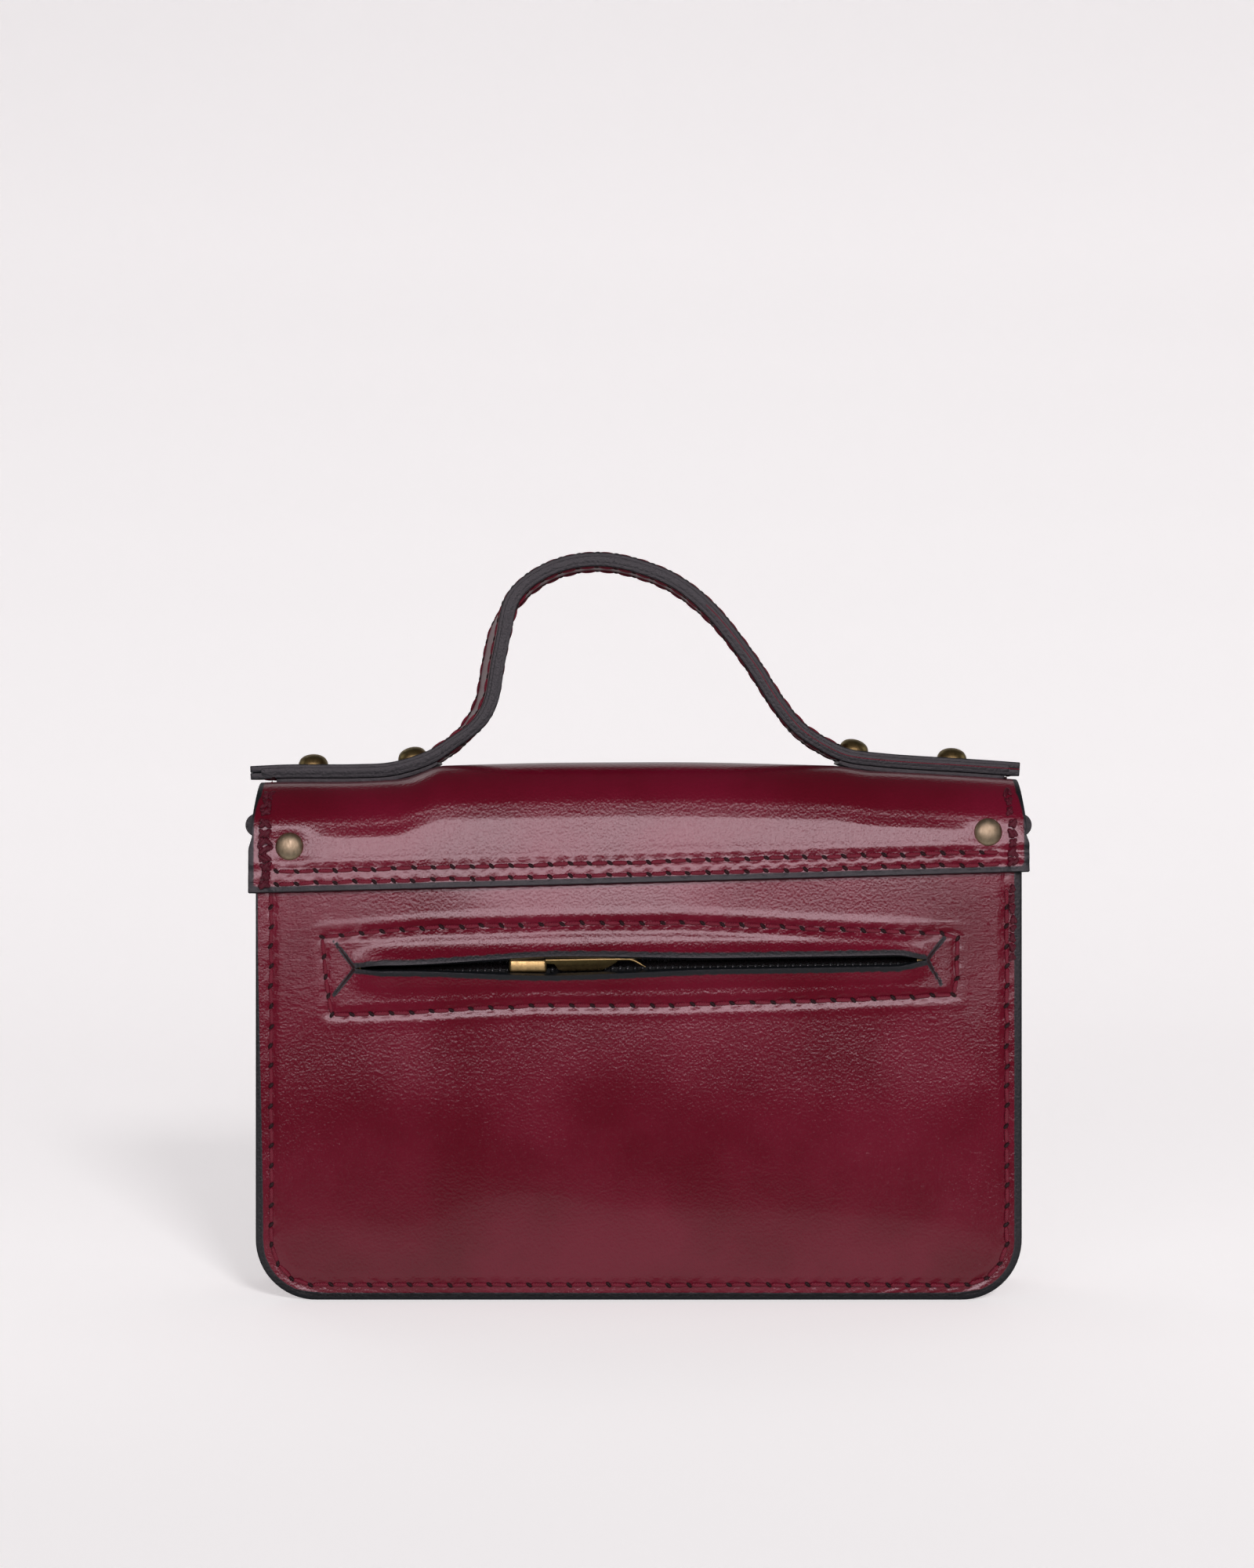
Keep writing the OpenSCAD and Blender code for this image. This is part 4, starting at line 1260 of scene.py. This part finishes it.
def makeCoil(name, side, node):
    # one row of moulded teeth: small loops along the tape's inner edge
    deselectAll()
    bpy.ops.mesh.primitive_torus_add(major_segments=9, minor_segments=6, major_radius=0.62 * mm,
                                     minor_radius=0.30 * mm)
    loop = bpy.context.object
    loop.rotation_euler = (0, math.radians(90), 0)
    settle(loop)
    loop.data.transform(Matrix.Diagonal((1.5, 0.75, 0.95, 1)))
    midY = (coilLow[1] + coilHigh[1]) / 2
    count = int(2 * 81 * mm / zipParts["tooth"])
    places = []
    for k in range(count + 1):
        x = -81 * mm + k * 162 * mm / count
        place = toSlit(x, midY, side * (zipParts["gap"] / 2 + 0.55 * mm))
        places.append(Matrix.Translation(place) @ Matrix.Rotation(side * 0.18, 4, "Y"))
    obj = scatter(name, loop, places)
    discard(loop)
    dress(obj, "bag", "zip_coil", coilMat, node)


for side, word in ((1, "upper"), (-1, "lower")):
    makeTape(f"tape_{word}", side, f"zip_tape_{word}")
    makeCoil(f"teeth_{word}", side, f"zip_coil_{word}")

sliderLow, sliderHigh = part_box("zip_slider")
sliderX = (sliderLow[0] + sliderHigh[0]) / 2


def roundedBlock(name, size, bevelWidth, segments=4):
    deselectAll()
    bpy.ops.mesh.primitive_cube_add(size=1)
    obj = bpy.context.object
    obj.name = name
    obj.scale = size
    settle(obj)
    makeActive(obj)
    bpy.ops.object.mode_set(mode="EDIT")
    bpy.ops.mesh.select_all(action="SELECT")
    bpy.ops.mesh.bevel(offset=bevelWidth, segments=segments, profile=0.5, clamp_overlap=True)
    bpy.ops.object.mode_set(mode="OBJECT")
    return obj


def joined(name, objs):
    makeActive(objs[0])
    for obj in objs:
        obj.select_set(True)
    bpy.ops.object.join()
    obj = bpy.context.object
    obj.name = name
    return obj


slider = {"long": 10.6 * mm, "high": 3.8 * mm, "deep": 2.6 * mm, "face": 32.0 * mm}


def makeSlider():
    mid = Vector((sliderX, 0, slitLine(sliderX)))
    parts = []
    for long, deep, high, y, shift in (
            (slider["long"], slider["deep"], slider["high"], slider["face"] - slider["deep"] / 2, 0),
            (9.6 * mm, 0.9 * mm, 4.1 * mm, sliderLow[1] + 0.45 * mm, 0),
            (2.0 * mm, 4 * mm, 1.0 * mm, 27.9 * mm, 3.5 * mm)):
        block = roundedBlock("plate", (long, deep, high), min(0.85 * mm, 0.4 * min(deep, high)))
        block.data.transform(Matrix.Translation((mid.x + shift, y, mid.z)))
        parts.append(block)
    obj = joined("slider_body", parts)
    smoothByAngle(obj, 45)
    dress(obj, "slider", "zip_brass", zipBrass, "zip_slider")


makeSlider()

puller = {"start": 5.0, "end": 33.0, "top": 1.5, "face": 31.6 * mm, "rim": 0.42 * mm}
pullerEdge = [(5.0, 0.7), (7.4, 0.5), (8.6, -1.2), (9.2, -1.3), (10.0, -1.5), (20.5, -1.45),
              (22.5, -0.6), (25.0, 0.9), (33.0, 1.3)]


def valueAt(table, s):
    for (a, low), (b, high) in zip(table, table[1:]):
        if s <= b:
            return low + (high - low) * max(0.0, (s - a) / (b - a))
    return table[-1][1]


def pullerTop(s):
    # the upper edge runs straight and hooks down at the tip
    return puller["top"] - 2.7 * smoothStep(27.5, 34.5, s) ** 1.2


def makePuller():
    # a leaning blade under one rolled edge; the blade has a darker copy of the zip brass, painted
    # shade on its face, and the edge keeps the zip brass
    start, end = puller["start"], puller["end"]

    def place(u, v):
        s = start + (24.9 - start) * v
        top, low = pullerTop(s), valueAt(pullerEdge, s)
        z = low + (top - low) * u
        x = sliderX - s * mm
        return Vector((x, puller["face"] + (z - puller["top"]) * 0.35 * mm, slitLine(x) + z * mm))

    blade = layGrid("puller_blade", 8, 80, place)
    applyAs(blade, "SOLIDIFY", thickness=0.6 * mm, offset=0)
    smoothByAngle(blade, 45)
    dress(blade, "puller", "zip_brass", shadedBladeBrass, "zip_puller")
    line = []
    for k in range(81):
        s = start + (end - start) * k / 80
        x = sliderX - s * mm
        line.append((Vector((x, puller["face"], slitLine(x) + pullerTop(s) * mm)), s))

    def edge(u, v):
        at, s = line[round(v * 80)]
        r = puller["rim"] * (0.45 + 0.55 * smoothStep(end, end - 1.5, s))
        return at + Vector((0, math.cos(u * math.tau), math.sin(u * math.tau))) * r

    roll = layGrid("puller_edge", 12, 80, edge)
    mergeDoubles(roll)
    smoothByAngle(roll, 60)
    dress(roll, "puller", "zip_brass", zipBrass)


makePuller()
print("zip made")


# ---- metal, rivets and rings ----

def makeRivet(name, radius, height, dome=0.85):
    # low domed head with a turned-down rim
    deselectAll()
    bpy.ops.mesh.primitive_uv_sphere_add(segments=36, ring_count=20, radius=1)
    head = bpy.context.object
    head.name = name
    makeActive(head)
    bpy.ops.object.mode_set(mode="EDIT")
    bpy.ops.mesh.select_all(action="SELECT")
    bpy.ops.mesh.bisect(plane_co=(0, 0, 0), plane_no=(0, 0, 1), clear_inner=True, use_fill=True)
    bpy.ops.object.mode_set(mode="OBJECT")
    for vert in head.data.vertices:
        flat = math.hypot(vert.co.x, vert.co.y)
        vert.co.x *= radius
        vert.co.y *= radius
        rim = 0.1 * smoothStep(0.8, 0.97, flat) * (1 if vert.co.z > 0.05 else 0)
        vert.co.z = max(0.0, vert.co.z ** dome if vert.co.z > 0 else 0.0) * height * (1 - rim)
    return head


def placeRivets(name, radius, height, spots, body, mat, slotName, *nodes):
    head = makeRivet(name, radius, height)
    obj = scatter(name, head, spots)
    discard(head)
    smoothByAngle(obj, 50)
    dress(obj, body, slotName, mat, *nodes)


backRivet = {"radius": 4.0 * mm, "height": 2.2 * mm, "sunk": 0.55 * mm}
backRivetPlaces = []
for low, high in rivetBoxes:
    cx, cz = (low[0] + high[0]) / 2, (low[2] + high[2]) / 2
    at = Vector((cx, flapBackY + wallBelly(cx, cz) - backRivet["sunk"], cz))
    backRivetPlaces.append(turned(at, Vector((1, 0, 0)), Vector((0, 1, 0))))
placeRivets("back_rivet_heads", backRivet["radius"], backRivet["height"], backRivetPlaces, "bag",
            rivetBrass, "rivet_brass", "back_rivets")

handleRivet = {"radius": 4.3 * mm, "height": 3.3 * mm}
handleRivetSpots = [(-90.7, -0.06), (-62.3, -0.26), (65.3, 0.24), (94.1, 0.02)]    # x (mm), lean
handleRivets = []
for x, lean in handleRivetSpots:
    up = Vector((math.sin(lean), 0, math.cos(lean)))
    x *= mm
    at = Vector((x, handleMidY, topZ - strapDrop(x) + footRise(x) + 2 * hide - 0.3 * mm))
    handleRivets.append(turned(at, Vector((0, 1, 0)), up))
placeRivets("handle_rivet_heads", handleRivet["radius"], handleRivet["height"], handleRivets,
            "lifting_flap", oldBrass, "rivet_brass", "handle_rivets")


for node in ("handle_rivet_caps", "back_rivet_caps", "tab_rivets", "tab_rivet_caps",
             "dring_left", "dring_right", "buckle_frame_left", "buckle_frame_right",
             "buckle_prong_left", "buckle_prong_right", "snap_stud_left", "snap_stud_right",
             "snap_socket_left", "snap_socket_right", "zip_end_stops"):
    obj = bpy.data.objects.get(node)
    if obj:
        obj.data.materials.clear()
        obj.data.materials.append(zipBrass if node == "zip_end_stops" else oldBrass)
for node in ("closure_strap_left", "closure_strap_right", "buckle_tab_left", "buckle_tab_right",
             "keeper_left", "keeper_right", "dring_tab_left", "dring_tab_right"):
    obj = bpy.data.objects.get(node)
    if obj:
        obj.data.materials.clear()
        obj.data.materials.append(tabLeather if "dring" in node else strapLeather)
strapHalf = (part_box("closure_strap_left")[1][0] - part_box("closure_strap_left")[0][0]) / 2
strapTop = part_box("closure_strap_left")[1][2]
for name, node in (("left", "closure_strap_left"), ("right", "closure_strap_right")):
    strapMid = (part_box(node)[0][0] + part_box(node)[1][0]) / 2
    inset = 2.3 * mm
    run, length = runAlong([((strapMid + k * (strapHalf - inset)) / mm, z) for k, z in (
        (-1, 62), (-1, strapTop / mm - 2.3), (1, strapTop / mm - 2.3), (1, 62))])
    sew(f"strap_seam_{name}", "lifting_flap", "leather", run, length,
        lambda p: Vector((p.x, flapFrontY - hide, p.z)), faceFront, pitch=4.2 * mm, wobble=0.08)
lining = bpy.data.objects.get("zip_pocket_lining")
if lining:
    lining.data.materials.clear()
    lining.data.materials.append(liningCloth)
print("metal made")


# ---- room ----

def makeRoom():
    # floor that curves up into a plain wall, pale and even; it ends just before the camera's view
    deselectAll()
    bpy.ops.mesh.primitive_grid_add(x_subdivisions=2, y_subdivisions=40, size=1)
    obj = bpy.context.object
    obj.name = "sweep"
    profile = [(2.4, 0.0), (-0.75, 0.0)]
    for k in range(1, 13):
        a = math.pi / 2 * k / 12
        profile.append((-0.75 - 0.6 * math.sin(a), 0.6 - 0.6 * math.cos(a)))
    profile += [(-1.35, 1.2), (-1.35, 2.4)]
    for vert in obj.data.vertices:
        y, z = pick([Vector(p) for p in profile], vert.co.y + 0.5)
        vert.co = Vector((vert.co.x * 5.0, y, z))
    mat, tree, shader = newMaterial("paleSweep", Roughness=0.9, Specular_IOR_Level=0.0)
    shader.inputs["Base Color"].default_value = (0.80, 0.775, 0.783, 1)
    shader.inputs["Emission Color"].default_value = (1.0, 0.965, 0.975, 1)
    place = addNode(tree, "SeparateXYZ", {0: addNode(tree, "TexCoord").outputs["Object"]})
    glow = rampNode(tree, place.outputs["Z"], 0.0, 0.75, 0.45, 0.27)
    near = rampNode(tree, place.outputs["Y"], 0.08, 0.34, 0.0, 0.14)
    tree.links.new(mathNode(tree, "SUBTRACT", glow, near), shader.inputs["Emission Strength"])
    obj.data.materials.append(mat)
    smoothByAngle(obj, 60)
    obj.visible_glossy = False


def glossCard(name, at, size, turn, tone, tint=(1.0, 0.97, 0.98, 1)):
    # a plain card that only the reflections see
    deselectAll()
    bpy.ops.mesh.primitive_plane_add(size=1, location=at, rotation=turn)
    obj = bpy.context.object
    obj.name = name
    obj.scale = (size[0], size[1], 1)
    mat, tree, shader = newMaterial(name + "Tone", Specular_IOR_Level=0.0)
    shader.inputs["Base Color"].default_value = (0, 0, 0, 1)
    shader.inputs["Emission Color"].default_value = tint
    shader.inputs["Emission Strength"].default_value = tone
    obj.data.materials.append(mat)
    obj.visible_camera = False
    obj.visible_diffuse = False
    obj.visible_shadow = False
    obj.visible_transmission = False


makeRoom()
glossCard("floorCard", (0, 0.085, 0.0005), (0.5, 0.09), (0, 0, 0), 0.6)
glossCard("wallCard", (0, -1.3, 0.8), (3.0, 1.7), (math.radians(90), 0, 0), 0.55)
world = bpy.context.scene.world or bpy.data.worlds.new("studio")
bpy.context.scene.world = world
world.use_nodes = True
worldTree = world.node_tree
worldTree.nodes.clear()
dim = worldTree.nodes.new("ShaderNodeBackground")
dim.inputs["Color"].default_value = (1.0, 0.985, 0.99, 1)
dim.inputs["Strength"].default_value = 0.07
pale = worldTree.nodes.new("ShaderNodeBackground")
pale.inputs["Color"].default_value = (0.87, 0.84, 0.85, 1)
seen = worldTree.nodes.new("ShaderNodeLightPath")
either = worldTree.nodes.new("ShaderNodeMixShader")
whole = worldTree.nodes.new("ShaderNodeOutputWorld")
worldTree.links.new(seen.outputs["Is Camera Ray"], either.inputs[0])
worldTree.links.new(dim.outputs[0], either.inputs[1])
worldTree.links.new(pale.outputs[0], either.inputs[2])
worldTree.links.new(either.outputs[0], whole.inputs["Surface"])


def softbox(name, at, target, size, power, shiny, matte, tint):
    light = bpy.data.lights.new(name, "AREA")
    light.shape = "RECTANGLE"
    light.size, light.size_y = size
    light.energy = power
    light.color = tint
    obj = bpy.data.objects.new(name, light)
    bpy.context.collection.objects.link(obj)
    obj.location = at
    obj.rotation_euler = (Vector(target) - Vector(at)).to_track_quat("-Z", "Y").to_euler()
    obj.visible_glossy = shiny
    obj.visible_diffuse = matte


boxes = [    # name, place, target, size (m), power (W), seen in reflections, lights surfaces, tint
    ("keyLight", (-0.6, 2.3, 1.1), (0, 0, 0.08), (0.36, 0.36), 34, False, True, (1, 1, 1)),
    ("frontBox", (0.0, 1.35, 0.39), (0, 0.0, 0.12), (1.5, 0.34), 11.5, True, False,
     (1.0, 0.84, 0.92)),
    ("frontFill", (0.0, 1.35, 0.45), (0, 0.0, 0.12), (1.5, 0.46), 7.5, False, True, (1, 1, 1)),
    ("rearFill", (0.7, -1.5, 1.3), (0, 0, 0.08), (0.9, 0.9), 3.5, True, True, (1, 1, 1)),
    ("sideFillLeft", (-1.7, -0.2, 0.7), (0, 0, 0.08), (0.7, 0.7), 2, True, True, (1, 1, 1)),
    ("sideFillRight", (1.7, -0.2, 0.7), (0, 0, 0.08), (0.7, 0.7), 2, True, True, (1, 1, 1))]
for box in boxes:
    softbox(*box)

cameraView = {"distance": 0.8, "width": 0.3509, "x": 0.0033, "z": 0.1447}
camera = bpy.data.cameras.new("view")
cameraObj = bpy.data.objects.new("view", camera)
bpy.context.collection.objects.link(cameraObj)
cameraObj.location = (cameraView["x"], backY + cameraView["distance"], cameraView["z"])
cameraObj.rotation_euler = (math.radians(90), 0, math.radians(180))
camera.sensor_fit = "HORIZONTAL"
camera.sensor_width = 36
camera.lens = 36 * cameraView["distance"] / cameraView["width"]
bpy.context.scene.camera = cameraObj

for shape in (threadShape, holeShadeShape):
    discard(shape)


print("scene ready")
